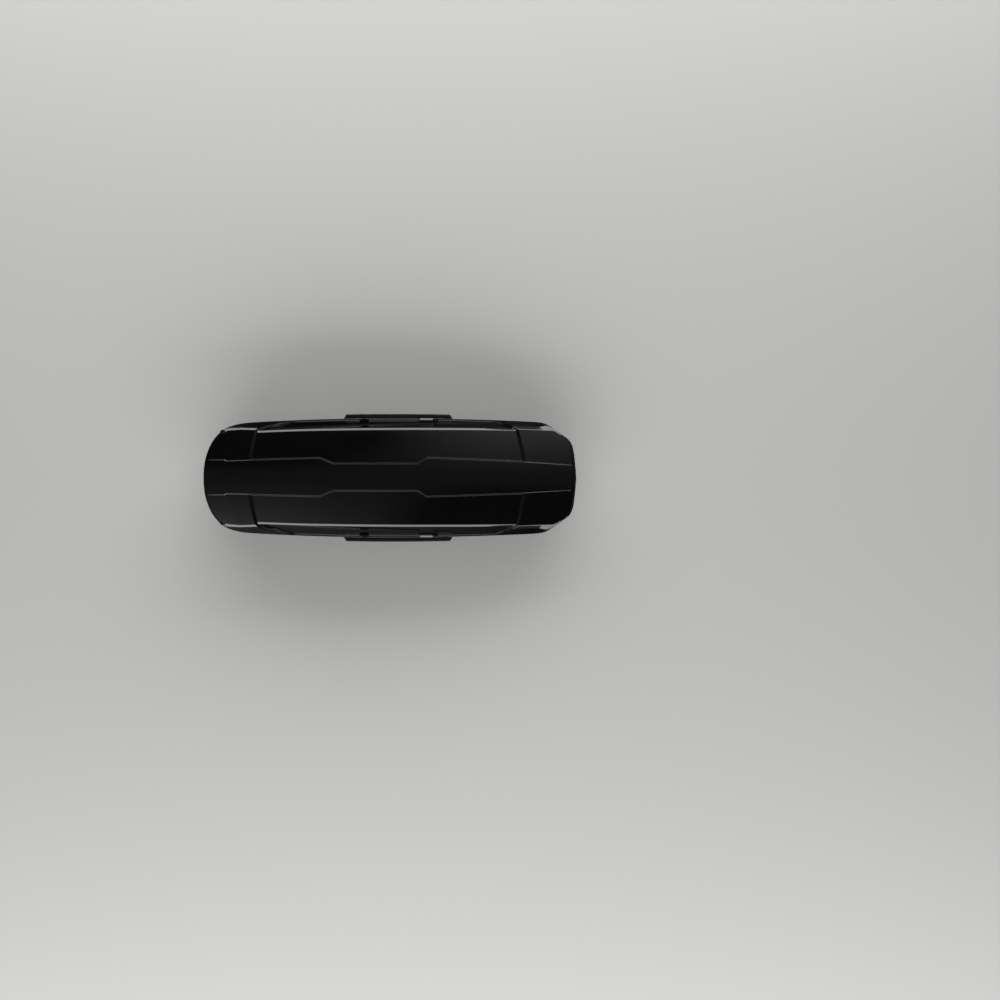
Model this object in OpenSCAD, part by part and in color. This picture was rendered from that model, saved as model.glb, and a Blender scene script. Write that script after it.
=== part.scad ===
// Roof cargo box: a narrow two-sided opening box that clamps onto two roof crossbars.
// +X is the front of the car, +Y its left side, +Z up. The origin is under the box's centre,
// level with the lowest point of the clamp jaws.

/* [Box] */
// Overall length of the lid
length = 1900; // [1700:50:2200]
// Width of the lid across its rim, without the grips
width = 608; // [580:4:680]
// Height from the underside of the clamp jaws to the crown of the lid
height = 420; // [400:5:480]
// Height of the base flange's top face
rim_height = 150; // [145:1:165]
// Thickness of the lid and base walls
shell = 4; // [3:0.5:5]

/* [Lid] */
// How far the sides bow in from the middle to the tail
side_bow = 39; // [30:1:50]
// How far the sides bow in from the middle to the nose
nose_side_bow = 31; // [26:1:40]
// Length of the rounded tail, in plan
tail_length = 250; // [200:10:300]
// Height of the tail's top edge above the base flange
tail_height = 160; // [140:5:180]
// Height of the nose's top edge above the base flange
nose_height = 75; // [65:1:95]
// Radius of the crown's rolled edge at nose and tail
edge_round = 12; // [8:1:16]
// Distance in plan from the rim to the shoulder line, in the middle section
flank_inset = 66; // [62:1:70]
// Fall of the crown from the centre line to the shoulder line
crown_fall = 53; // [46:1:60]
// Depth of the step between the raised centre panel and the side panels
panel_step = 7.5; // [6:0.5:9]
// Width of the sloping edge of the raised centre panel, in the middle section
step_run = 7; // [6:0.5:9]
// Skirt of the lid below the flange's top face
skirt_drop = 8; // [6:0.5:9]
// Upright band of the skirt above the flange's top face
skirt_rise = 12; // [10:0.5:14]

/* [Base] */
// Distance in plan from the lid's rim to the edge of the base flange
flange_inset = 14; // [13:0.5:17]
// Distance in plan from the lid's rim to the inside of the base wall, at the flange
wall_inset = 39; // [37:1:42]
// Distance in plan from the lid's rim to the edge of the flat floor
floor_inset = 104; // [98:1:110]
// Height of the base's underside above the jaws' underside
belly_height = 40; // [38:1:44]
// Thickness of the rubber edging round the flange
edging = 2; // [1.5:0.25:2.5]

/* [Crossbars and clamps] */
// Width of the crossbar that the clamps take
bar_width = 80; // [70:1:85]
// Thickness of the rubber seats between base and crossbar
seat_thickness = 4; // [3:0.5:6]
// Distance between the two crossbars, centre to centre
bar_spread = 740; // [700:10:760]
// Distance of the clamps from the centre line
clamp_y = 125; // [115:1:130]
// Width of a clamp jaw
jaw_width = 30; // [26:1:34]
// Thickness of a clamp jaw
jaw_thickness = 7; // [6:0.5:8]
// Radius of the clamp knobs
knob_radius = 27; // [24:1:28]
// Height of the clamp knobs
knob_height = 20; // [18:1:24]

/* [Hinges and locks] */
// Radius of the hinge pins
pin_radius = 4; // [3.5:0.25:4.5]
// Thickness of the nylon sleeves on the hinge pins
sleeve_wall = 2; // [1.5:0.25:2]
// Distance of the hinge axes inside the lid's rim
axis_inset = 68; // [66:1:72]
// Distance of the outer hinges from the ends of the box
hinge_inset = 450; // [430:5:500]
// Travel of the slide levers and their lock bars
lock_travel = 22; // [21:0.5:24]
// Radius of the key cylinders
key_radius = 12; // [10:0.5:13]
// Length of a slide lever
lever_length = 68; // [60:1:74]
// Height of a slide lever along the flank
lever_height = 24; // [20:1:26]
// Distance that a side grip stands out from the lid's rim
grip_reach = 22; // [18:1:26]
// Length of a side grip
grip_length = 554; // [500:2:600]

/* [Lifters] */
// Length of a lifter arm, pivot to roller
arm_length = 264; // [256:1:266]
// Distance of the arm pivots from the centre line
arm_pivot_y = 100; // [96:1:104]
// Radius of the rollers on the arms
roller_radius = 9; // [9:0.5:11]
// Distance of the lifter beams from the ends of the box
beam_inset = 323; // [310:1:350]

/* [Hidden] */
$fn = 48;

gloss_black = [0.03, 0.03, 0.03];
satin_black = [0.07, 0.07, 0.07];
dark_grey = [0.16, 0.16, 0.17];
steel = [0.62, 0.63, 0.65];
light_grey = [0.60, 0.60, 0.60];
nylon = [0.75, 0.73, 0.68];
rubber = [0.05, 0.05, 0.05];
webbing = [0.10, 0.10, 0.11];

// Clearances: between faces that rest on each other, and round turning pins
seat_gap = 0.3;
turn_gap = 0.05;

half_length = length / 2;
half_width = width / 2;
axis_y = half_width - axis_inset;
axis_z = rim_height;
hinge_pitch = half_length - hinge_inset;
beam_x = half_length - beam_inset;

// ---------------------------------------------------------------- outline of the rim, in plan

function smooth_min(a, b, k) = -k * ln(exp(-a / k) + exp(-b / k));
function blend(a, b, share) = a + (b - a) * share;

// The tail is a rounded end, the nose a straight front with cut corners
tail_power = 3;
tail_fullness = 0.46;
corner_cut = 158;            // length of the nose's cut corners along X
corner_slope = 0.72;         // how steeply they run in
corner_blend = 8;            // rounding where they meet the sides and the front
nose_bow = 16;               // how far the front edge curves back at nose_bow_y
nose_bow_y = 150;
nose_bow_power = 1.3;

corner_start_x = half_length - corner_cut;
corner_start_y = half_width - nose_side_bow * pow(corner_start_x / half_length, 2) - 1;

function side_bowed(x) = half_width - (x < 0 ? side_bow : nose_side_bow) * pow(x / half_length, 2);
function tail_share(x) = max(0, (-x - (half_length - tail_length)) / tail_length);
function side_y(x) =
    smooth_min(side_bowed(x), corner_start_y - corner_slope * (x - corner_start_x), corner_blend)
    * pow(max(0, 1 - pow(tail_share(x), tail_power)), tail_fullness);

function tail_x_for(y, w) =
    -(half_length - tail_length)
    - tail_length * pow(max(0, 1 - pow(min(1, y / w), 1 / tail_fullness)), 1 / tail_power);
function tail_x(y) =
    let (first = tail_x_for(y, side_bowed(half_length * 0.95)))
    tail_x_for(y, side_bowed(first));
function nose_x(y) =
    smooth_min(half_length - nose_bow * pow(y / nose_bow_y, nose_bow_power),
               corner_start_x + (corner_start_y - y) / corner_slope, corner_blend);

tail_corner_x = -half_length + 93;
nose_corner_x = half_length - 42;
function tail_shape(t) =
    let (y = side_y(tail_corner_x))
    (tail_x(t * y) - tail_x(0)) / (tail_x(y) - tail_x(0));
function nose_shape(t) =
    let (y = side_y(nose_corner_x))
    (nose_x(0) - nose_x(t * y)) / (nose_x(0) - nose_x(y));

// ---------------------------------------------------------------- surface of the lid

// The lid is a grid of rows, each known by where it crosses the centre line
groove_tail = -0.727 * half_length;
groove_nose = 0.726 * half_length;
groove_half = 9;

// Share of the half length, and how far the row lags or leads at the shoulder line
row_bow = [[-half_length, -93], [groove_tail, -35], [-0.53 * half_length, 0],
           [0.53 * half_length, 0], [groove_nose, 43], [half_length, 42]];
// How far the row sweeps on towards the middle between the shoulder line and the rim
row_sweep = [[-half_length, 0], [groove_tail - groove_half, 128], [groove_tail + groove_half, 146],
             [-0.26 * half_length, 0], [0.26 * half_length, 0], [groove_nose - groove_half, -132],
             [groove_nose + groove_half, -112], [half_length, 0]];
// Plan distance from rim to shoulder line: the end sections stand proud of the middle one
row_inset = [[-half_length, 8], [-half_length + 45, 22], [-half_length + 100, 36],
             [groove_tail - groove_half, flank_inset - 18],
             [groove_tail + groove_half, flank_inset - 4], [-0.28 * half_length, flank_inset + 1],
             [0, flank_inset + 1], [0.28 * half_length, flank_inset - 2],
             [groove_nose - groove_half, flank_inset - 13],
             [groove_nose + groove_half, flank_inset - 21], [half_length - 150, flank_inset - 23],
             [half_length - 112, 41], [half_length - 92, 25], [half_length - 78, 16],
             [half_length - 64, 6], [half_length, 5]];
// How far the walls of nose and tail lean in, by row
row_draft = [[-half_length, 30], [-half_length + 150, 6], [half_length - 100, 6],
             [half_length, 12]];
// Depth of the side panels below the centre panel
end_step = 2;
row_step = [[-half_length, end_step], [groove_tail - groove_half, end_step],
            [groove_tail + groove_half, panel_step], [groove_nose - groove_half, panel_step],
            [groove_nose + groove_half, end_step], [half_length, end_step]];
row_run = [[groove_tail - groove_half, end_step + 1], [groove_tail + groove_half, step_run],
           [groove_nose - groove_half, step_run], [groove_nose + groove_half, end_step + 1]];
// Half width of the raised centre panel, with its waist in the middle
panel_half = [[-half_length, 86], [-0.873 * half_length, 86], [-0.858 * half_length, 80],
              [-0.726 * half_length, 83], [-0.35 * half_length, 92],
              [-0.279 * half_length, 64], [0.161 * half_length, 64],
              [0.212 * half_length, 93], [0.706 * half_length, 77], [half_length, 61]];

row_marks = concat(
    [for (share = [0, 0.15, 0.45]) -half_length + share * edge_round],
    [-half_length + edge_round, -half_length + 45, -half_length + 100,
     -0.873 * half_length, -0.858 * half_length,
     groove_tail - groove_half, groove_tail + groove_half,
     -0.35 * half_length, -0.279 * half_length, 0.161 * half_length, 0.212 * half_length,
     groove_nose - groove_half, groove_nose + groove_half, half_length - 150,
     half_length - 112, half_length - 92, half_length - 78, half_length - 64, half_length - edge_round],
    [for (share = [0.45, 0.15, 0]) half_length - share * edge_round]);
row_spacing = 85;
rows = [for (k = [0 : len(row_marks) - 2])
            let (n = ceil((row_marks[k + 1] - row_marks[k]) / row_spacing))
            for (j = [0 : n - 1]) blend(row_marks[k], row_marks[k + 1], j / n),
        half_length];
last_row = len(rows) - 1;

// Crown along the centre line
peak_x = -0.126 * half_length;
function spine_z(x) =
    x > peak_x
    ? blend(height, rim_height + nose_height, pow((x - peak_x) / (half_length - peak_x), 2.3))
    : blend(height, rim_height + tail_height, pow((peak_x - x) / (half_length + peak_x), 2.6));
function edge_roll(d) =
    d >= edge_round ? 0
    : edge_round * (1 - sqrt(max(0, 1 - pow(1 - max(0, d) / edge_round, 2))));
function crown_drop(x) = crown_fall - crown_ends * pow(x / half_length, 2);

// Half of the columns across the crown, from the centre line to the shoulder line
half_columns = 6;
last_column = 2 * half_columns;
crown_ends = 21;      // how much less the crown falls at the ends
crown_power = 1.8;

function shoulder_x(c) = c - lookup(c, row_bow);
function shoulder_y(c) = side_y(shoulder_x(c)) - lookup(c, row_inset);
function column_y(c, j) =
    let (p = lookup(c, panel_half), s = shoulder_y(c), outer = p + lookup(c, row_run))
    j == 0 ? 0 : j == 1 ? p / 2 : j == 2 ? p
    : blend(outer, s, (j - 3) / (half_columns - 3));
function row_shape(c, t) =
    let (tail = max(0, 1 - (c + half_length) / 200), nose = max(0, 1 - (half_length - c) / 200))
    tail > 0 ? blend(t * t, tail_shape(t), tail)
    : nose > 0 ? blend(t * t, nose_shape(t), nose) : t * t;

// A point of the crown; inward moves it inside by that much, for the lid's inner face
function crown_point(c, column, inward) =
    let (j = abs(column - half_columns), s = shoulder_y(c), y = column_y(c, j), t = y / s,
         x = shoulder_x(c) + lookup(c, row_bow) * (1 - row_shape(c, t)),
         z = spine_z(x) - crown_drop(x) * pow(y / (half_width - flank_inset), crown_power)
             - (j > 2 ? lookup(c, row_step) : 0)
             - edge_roll(min(c + half_length, half_length - c)),
         inner_y = y - inward * (j == half_columns ? 1 : 0))
    [x * (1 - (lookup(c, row_draft) + inward) / half_length), sign(column - half_columns) * inner_y,
     z - inward];

// Below the shoulder line runs a sloping band, wider on the nose
band_run = [[groove_nose - groove_half, 9], [groove_nose + groove_half, 13.5]];
band_slope = 0.65;
function band_foot(c, rise) =
    let (inset = lookup(c, row_inset), run = min(lookup(c, band_run), 0.55 * inset))
    [1 - run / inset, 1 - band_slope * run / rise];

// The middle of the flank is sunk between the grooves, above a lip along the rim. A ledge falls
// across it from high at the tail's groove to low at the nose's: share of the way in, by row
lip_foot = [0.12, 0.075];
ledge_slope = 0.8;
ledge_in = [[groove_tail, 0.78], [groove_nose, 0.27]];
ledge_run = 0.055;
ledge_rise = 0.018;
// Levels of the flank from the skirt's lower edge up: share of the way in, share of the height
foot_levels = [[0, -1], [0, 0], [0.02, 0.06]];
end_levels = concat(foot_levels, [[0.05, 0.10], [0.25, 0.33], [0.50, 0.57], [0.95, 0.95]]);
function flank_levels(c, rise) =
    let (foot = band_foot(c, rise), q = lookup(c, ledge_in),
         ledge = lip_foot[1] + ledge_slope * (q - lip_foot[0]))
    c < groove_tail || c > groove_nose
    ? concat(foot_levels, [[0.05, 0.10], [0.35 * foot[0], 0.33], [0.65 * foot[0], 0.60], foot])
    : concat(foot_levels, [lip_foot, [q - ledge_run, ledge], [q, ledge + ledge_rise], foot]);
last_level = len(end_levels) - 1;
skirt_bottom = rim_height - skirt_drop;
skirt_top = rim_height + skirt_rise;

function flank_z(level, top) =
    level[1] < 0 ? skirt_bottom : blend(skirt_top, top, level[1]);
function flank_point(c, k, side, inward) =
    let (top = crown_point(c, last_column, inward), level = flank_levels(c, top[2] - skirt_top)[k],
         q = level[0], x = shoulder_x(c) + lookup(c, row_sweep) * pow(1 - q, 1.5))
    [x * (1 - (inward + lookup(c, row_draft) * q) / half_length),
     side * (side_y(x) - q * lookup(c, row_inset) - inward),
     flank_z(level, top[2])];
function end_point(row, column, k, inward) =
    let (top = crown_point(rows[row], column, inward), level = end_levels[k],
         draft = lookup(rows[row], row_draft), full = top[0] / (1 - (draft + inward) / half_length))
    [full * (1 - (inward + draft * level[0]) / half_length), top[1], flank_z(level, top[2])];

// The crown's border, walked from the left side round the nose, back and round the tail
border = concat(
    [for (i = [0 : last_row]) [i, last_column]],
    [for (j = [last_column - 1 : -1 : 0]) [last_row, j]],
    [for (i = [last_row - 1 : -1 : 0]) [i, 0]],
    [for (j = [1 : last_column - 1]) [0, j]]);
border_size = len(border);
function is_side(b) = b[1] == 0 || b[1] == last_column;
function border_point(b, k, inward) =
    is_side(b) ? flank_point(rows[b[0]], k, b[1] == 0 ? -1 : 1, inward)
    : end_point(b[0], b[1], k, inward);

function lid_face_points(inward) = concat(
    [for (i = [0 : last_row]) for (j = [0 : last_column]) crown_point(rows[i], j, inward)],
    [for (k = [0 : last_level]) for (b = border) border_point(b, k, inward)]);
crown_count = len(rows) * (last_column + 1);
face_count = crown_count + border_size * (last_level + 1);
function crown_index(i, j) = i * (last_column + 1) + j;
function wall_index(k, u) =
    let (v = u % border_size)
    k > last_level ? crown_index(border[v][0], border[v][1]) : crown_count + k * border_size + v;
function two_triangles(a, b, c, d) = [[a, b, c], [a, c, d]];
function lid_triangles() = concat(
    [for (i = [0 : last_row - 1]) for (j = [0 : last_column - 1])
        each two_triangles(crown_index(i, j), crown_index(i, j + 1),
                           crown_index(i + 1, j + 1), crown_index(i + 1, j))],
    [for (k = [0 : last_level]) for (u = [0 : border_size - 1])
        each two_triangles(wall_index(k, u), wall_index(k, u + 1),
                           wall_index(k + 1, u + 1), wall_index(k + 1, u))]);
function turned(t) = [t[2] + face_count, t[1] + face_count, t[0] + face_count];

// ---------------------------------------------------------------- lid

// Where the flank stands: distance in from the rim at a height, away from the grooves
function flank_in(x, z) =
    let (rise = crown_point(x, last_column, 0)[2] - skirt_top,
         shares = [for (k = [1 : last_level]) let (l = flank_levels(x, rise)[k]) [l[1], l[0]], [1, 1]])
    lookup(x, row_inset) * lookup((z - skirt_top) / rise, shares);
function flank_y(x, z) = side_y(x) - flank_in(x, z);

// The lock parts sit on the lower flank
key_x = -128;
lever_x = 187;
lock_z = axis_z + 43;
flank_tilt = atan(flank_in(0, lock_z + 0.5) - flank_in(0, lock_z - 0.5));
function lock_y(x) = flank_y(x, lock_z);

// A frame on the left flank at x: its Z points out of the lid, its X forwards along the flank
module on_flank(x) {
    translate([x, lock_y(x), lock_z]) rotate([0, 0, atan((side_y(x + 1) - side_y(x - 1)) / 2)])
        rotate([-90 + flank_tilt, 0, 0]) children();
}

key_neck = 8;
stem_x = 18;
stem_z = 6;
module lock_openings() {
    on_flank(key_x) translate([0, 0, -20]) cylinder(r = key_neck + 0.5, h = 40);
    on_flank(lever_x) translate([-stem_x / 2 - 1.5, -stem_z / 2 - 1, -20])
        cube([stem_x + lock_travel + 3, stem_z + 2, 40]);
}

module lid_shell() {
    color(gloss_black) difference() {
        polyhedron(
            points = concat(lid_face_points(0), lid_face_points(shell)),
            faces = concat(
                lid_triangles(), [for (t = lid_triangles()) turned(t)],
                [for (u = [0 : border_size - 1])
                    each two_triangles(wall_index(0, u), face_count + wall_index(0, u),
                                       face_count + wall_index(0, u + 1), wall_index(0, u + 1))]));
        lock_openings();
        mirror([0, 1, 0]) lock_openings();
    }
}

// The ladder frame inside the lid: two side rails and two crossbars that the rollers run under
rail_half_length = beam_x + 60;
rail_width = 32;
rail_height = 24;
rail_wall = 2;
claw_plate = 3;
rail_z = axis_z + 13;

module lid_rail() {
    color(steel) translate([-rail_half_length, axis_y - rail_width, rail_z]) difference() {
        cube([2 * rail_half_length, rail_width, rail_height]);
        translate([-1, rail_wall, -1])
            cube([2 * rail_half_length + 2, rail_width - 2 * rail_wall, rail_height - rail_wall + 1]);
    }
}

track_z = axis_z + roller_radius + 0.5;
track_width = 54;
track_height = 14;
module lid_crossbars() {
    color(steel) for (end = [-1, 1]) {
        track_half = axis_y - rail_width - seat_gap;
        translate([end * beam_x - track_width / 2, -track_half, track_z]) difference() {
            cube([track_width, 2 * track_half, track_height]);
            translate([rail_wall, -1, rail_wall])
                cube([track_width - 2 * rail_wall, 2 * track_half + 2, track_height - 2 * rail_wall]);
        }
    }
}

// Plates that bond the rails to the flanks, cut to the slope of the upper flank
bracket_width = 36;
bracket_rise = 40;
bracket_lean = 14;
bracket_top = rail_z + rail_height + bracket_rise;
bracket_wall = 4;
bracket_stations = [-0.9 * hinge_pitch, -0.56 * hinge_pitch, 0.12 * hinge_pitch,
                    0.56 * hinge_pitch, 0.9 * hinge_pitch];
module rail_brackets() {
    color(steel) for (side = [-1, 1]) for (x = bracket_stations) mirror([0, side < 0 ? 1 : 0, 0]) {
        reach = min(flank_y(x - bracket_width / 2, bracket_top),
                    flank_y(x + bracket_width / 2, bracket_top)) - shell - 2.5;
        foot = axis_y - bracket_wall;
        translate([x + bracket_width / 2, 0, 0]) rotate([90, 0, -90]) linear_extrude(bracket_width)
            mirror([1, 0]) polygon([
                [foot, rail_z + rail_height + seat_gap], [axis_y, rail_z + rail_height + seat_gap],
                [reach, bracket_top - bracket_lean], [reach - 3, bracket_top],
                [reach - bracket_wall - 3, bracket_top], [reach - bracket_wall, bracket_top - bracket_lean]]);
    }
}

// Claws that drop over the hinge sleeves from above
hinge_stations = [for (k = [-1 : 1]) k * hinge_pitch];
web_half = 3;
cheek_start = 4;
cheek_end = 11;
pin_back = 22;
pin_front = 12;
sleeve_radius = pin_radius + sleeve_wall;
claw_half = sleeve_radius + 3;
claw_mouth = 8;
claw_gap = 0.3;

module claws() {
    color(dark_grey) for (x = hinge_stations) translate([x, axis_y, axis_z]) {
        translate([-cheek_end, -rail_width, rail_z - axis_z - claw_plate - seat_gap])
            cube([2 * cheek_end, rail_width + claw_half, claw_plate]);
        for (start = [-cheek_end, cheek_start]) translate([start, 0, 0]) difference() {
            translate([0, -claw_half, -claw_mouth])
                cube([cheek_end - cheek_start, 2 * claw_half,
                      claw_mouth + rail_z - axis_z - claw_plate - seat_gap]);
            rotate([0, 90, 0]) translate([0, 0, -1])
                cylinder(r = sleeve_radius + claw_gap, h = cheek_end - cheek_start + 2);
            translate([-1, -sleeve_radius - claw_gap, -claw_mouth - 1])
                cube([cheek_end - cheek_start + 2, 2 * (sleeve_radius + claw_gap), claw_mouth + 1]);
        }
    }
}

// Grip under the lid's edge: a top plate and an outer lip that leave a gap for the fingers
grip_x = 42;
grip_wall = 3.5;
grip_bottom = skirt_bottom - 2;
grip_top = skirt_top - 2;
grip_steps = 24;
grip_profile = [[seat_gap, -grip_wall], [seat_gap, 0], [grip_reach - 3, 0], [grip_reach, -4],
                [grip_reach, grip_bottom - grip_top + 2], [grip_reach - 2, grip_bottom - grip_top],
                [grip_reach - grip_wall, grip_bottom - grip_top], [grip_reach - grip_wall, -grip_wall]];

// Sweeps a profile of [distance out, height] along the left rim; the ends draw in to the rim
module rim_sweep(from, to, steps, profile, height_at, end_run) {
    count = len(profile);
    points = [for (i = [0 : steps])
        let (share = i / steps, x = blend(from, to, share),
             reach = max([for (p = profile) p[0]]))
        for (p = profile)
            let (pull = end_run * p[0] / reach,
                 px = blend(from + pull, to - pull, share))
            [px, side_y(px) + p[0], height_at + p[1]]];
    sides = [for (i = [0 : steps - 1]) for (k = [0 : count - 1])
        let (a = i * count + k, b = i * count + (k + 1) % count)
        each two_triangles(a, a + count, b + count, b)];
    polyhedron(points = points, faces = concat(
        sides, [[for (k = [0 : count - 1]) k]],
        [[for (k = [count - 1 : -1 : 0]) steps * count + k]]));
}

module grip() {
    color(satin_black) rim_sweep(grip_x - grip_length / 2, grip_x + grip_length / 2,
                                 grip_steps, grip_profile, grip_top, 12);
}

// Surrounds on the lower flank: an oval one for the key cylinder, a long one that guides the lever
surround_height = 30;
key_surround = [47, 5];
lever_surround_wall = 2.5;
module stadium(total, high, wall) {
    linear_extrude(wall) union() {
        square([total - high, high], center = true);
        for (end = [-1, 1]) translate([end * (total - high) / 2, 0]) circle(d = high);
    }
}
module lock_surround() {
    track = lever_length + lock_travel + 6;
    color(dark_grey) difference() {
        union() {
            on_flank(key_x) translate([0, 0, seat_gap])
                stadium(key_surround[0], surround_height, key_surround[1]);
            on_flank(lever_x) translate([lock_travel / 2, 0, seat_gap]) linear_extrude(lever_surround_wall)
                polygon([[-track / 2 + 3, lever_height / 2 + 2], [track / 2 + 2, lever_height / 2 + 2],
                         [track / 2 - 3, -lever_height / 2 - 2], [-track / 2 - 2, -lever_height / 2 - 2]]);
        }
        lock_openings();
    }
}

// Key cylinder: its barrel turns in the flank
key_depth = 9;
key_face = seat_gap + key_surround[1] + seat_gap;
module key_cylinder() {
    color(satin_black) on_flank(key_x) difference() {
        union() {
            translate([0, 0, key_face]) cylinder(r = key_radius, h = 2.5);
            translate([0, 0, key_face + 2.5]) cylinder(r1 = key_radius, r2 = key_radius - 1.5, h = 1.5);
            translate([0, 0, -key_depth]) cylinder(r = key_neck, h = key_depth + key_face + 1);
        }
        translate([-1, -4, key_face + 1]) cube([2, 8, 10]);
    }
}

// Slide lever: a light tab that stands proud of its surround
lever_thickness = 7;
lever_base = seat_gap + lever_surround_wall + seat_gap;
stem_depth = shell + 3.4;
module slide_lever() {
    color(light_grey) on_flank(lever_x) {
        translate([0, 0, lever_base]) difference() {
            linear_extrude(lever_thickness)
                polygon([[-lever_length / 2 + 5, lever_height / 2], [lever_length / 2, lever_height / 2],
                         [lever_length / 2 - 5, -lever_height / 2], [-lever_length / 2, -lever_height / 2]]);
            for (k = [-2 : 2]) translate([k * 7 - 1, -lever_height / 2 + 5, lever_thickness - 1.2])
                cube([2, lever_height - 10, 3]);
        }
        translate([-stem_x / 2, -stem_z / 2, -stem_depth])
            cube([stem_x, stem_z, stem_depth + lever_base + 1]);
    }
}

// Lock bar: runs outside the side rail; its toes slide under the hinge sleeves
lock_bar_wall = 4;
lock_bar_height = 16;
toe_width = 8;
toe_out = sleeve_radius + 0.6;
toe_wall = 4;
toe_rest = -pin_back - 12 - toe_width;
bar_rear = 28;
bar_front = 62;
yoke_width = 20;
// The yoke arches over the edge of the flange, which swings into the lid as it opens
yoke_rise = 51;
yoke_arch = axis_z + yoke_rise;
yoke_elbow = 34;
module lock_bar() {
    bar_bottom = rail_z + 2;
    // the yoke's end stops just short of the lever's stem, square to it
    end_y = lock_y(lever_x) - (stem_depth + seat_gap) * cos(flank_tilt);
    end_z = lock_z - (stem_depth + seat_gap) * sin(flank_tilt);
    half_y = stem_z / 2 * sin(flank_tilt);
    half_z = stem_z / 2 * cos(flank_tilt);
    color(steel) {
        translate([-hinge_pitch + toe_rest - bar_rear, axis_y + 1, bar_bottom])
            cube([2 * hinge_pitch + bar_rear + bar_front, lock_bar_wall, lock_bar_height]);
        for (x = hinge_stations) translate([x + toe_rest, axis_y, axis_z])
            rotate([90, 0, 90]) linear_extrude(toe_width) polygon([
                [1, bar_bottom - axis_z + 1], [1 + lock_bar_wall, bar_bottom - axis_z + 1],
                [toe_out + toe_wall, sleeve_radius + 2], [toe_out + toe_wall, -toe_out - toe_wall],
                [-5, -toe_out - toe_wall], [-5, -toe_out], [toe_out, -toe_out],
                [toe_out, sleeve_radius + 1]]);
        translate([lever_x - yoke_width / 2, 0, 0]) rotate([90, 0, 90]) linear_extrude(yoke_width)
            polygon([
                [axis_y + 1, bar_bottom + lock_bar_height - 1],
                [axis_y + 1 + lock_bar_wall, bar_bottom + lock_bar_height - 1],
                [axis_y + 1 + lock_bar_wall, yoke_arch], [axis_y + yoke_elbow, yoke_arch],
                [end_y + half_y, end_z - half_z], [end_y - half_y, end_z + half_z],
                [axis_y + yoke_elbow + 2, yoke_arch + lock_bar_wall],
                [axis_y + 1, yoke_arch + lock_bar_wall]]);
    }
}

// ---------------------------------------------------------------- base

function inset_loop(side_in, nose_in, tail_in, z) = [for (b = border)
    let (p = border_point(b, 0, 0))
    [p[0] * (1 - (p[0] > 0 ? nose_in : tail_in) / half_length),
     p[1] * (1 - side_in / half_width), z]];

// Joins loops of equal size into one closed skin; the first and last loops become flat caps,
// or the last joins the first again when closed is true
module loft(loops, closed) {
    size = len(loops[0]);
    count = len(loops);
    bands = closed ? count : count - 1;
    sides = [for (k = [0 : bands - 1]) for (u = [0 : size - 1])
        let (a = k * size, b = ((k + 1) % count) * size, v = (u + 1) % size)
        each two_triangles(a + u, a + v, b + v, b + u)];
    caps = closed ? [] : [[for (u = [size - 1 : -1 : 0]) u],
                          [for (u = [0 : size - 1]) (count - 1) * size + u]];
    polyhedron(points = [for (l = loops) each l], faces = concat(sides, caps));
}

floor_z = belly_height + shell;
wall_side = 1.12 * shell;    // the sloping walls' thickness, measured level
beam_foot = 36;
// The flat floor runs on past the lifter beams' feet; the ends slope up from there
nose_flat = 43;
tail_flat = 153;
nose_floor_inset = beam_inset - beam_foot / 2 - nose_flat;
tail_floor_inset = beam_inset - beam_foot / 2 - tail_flat;
nose_middle_inset = 118;
tail_middle_inset = 80;
end_slope_wall = 6;
flange_bottom = rim_height - shell;
// How far in the inside of the wall stands at a height, as a share of the way down to the floor
function wall_in(z) =
    blend(wall_inset, floor_inset - 11, (rim_height - z) / (rim_height - floor_z - 8));

module base_floor_slots() {
    for (at = clamp_places) translate([at[0], at[1], 0]) for (end = [-1, 1])
        translate([end > 0 ? jaw_in - 3 : -jaw_in - slot_run + 3, -jaw_width / 2 - 2, belly_height - 5])
            cube([slot_run, jaw_width + 4, shell + 10]);
}

module base_shell() {
    middle_z = (rim_height + floor_z) / 2;
    color(satin_black) difference() {
        loft([
            inset_loop(floor_inset - wall_side, nose_floor_inset - 4, tail_floor_inset - 4, belly_height),
            inset_loop(wall_in(floor_z + 8) - wall_side, nose_floor_inset - 30, tail_floor_inset - 18,
                       belly_height + 6),
            inset_loop(wall_in(middle_z) - wall_side, nose_middle_inset, tail_middle_inset, middle_z - 2),
            inset_loop(wall_in(flange_bottom) - wall_side, wall_inset - 1, wall_inset - 2, flange_bottom),
            inset_loop(flange_inset, flange_inset, flange_inset, flange_bottom),
            inset_loop(flange_inset, flange_inset, flange_inset, rim_height),
            inset_loop(wall_inset, wall_inset + 4, wall_inset + 3, rim_height),
            inset_loop(wall_in(middle_z), nose_middle_inset + end_slope_wall,
                       tail_middle_inset + end_slope_wall - 1, middle_z),
            inset_loop(wall_in(floor_z + 8), nose_floor_inset - 26, tail_floor_inset - 13, floor_z + 8),
            inset_loop(floor_inset, nose_floor_inset, tail_floor_inset, floor_z)], false);
        base_floor_slots();
    }
}

module flange_edging() {
    near = flange_inset - edging;
    far = flange_inset + 8;
    slot = flange_inset - 0.3;
    low = flange_bottom - 0.3;
    high = rim_height + 0.3;
    profile = [[far, low - edging], [near, low - edging], [near, high + edging],
               [far, high + edging], [far, high], [slot, high], [slot, low], [far, low]];
    color(rubber) loft([for (p = profile) inset_loop(p[0], p[0], p[0], p[1])], true);
}

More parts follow.
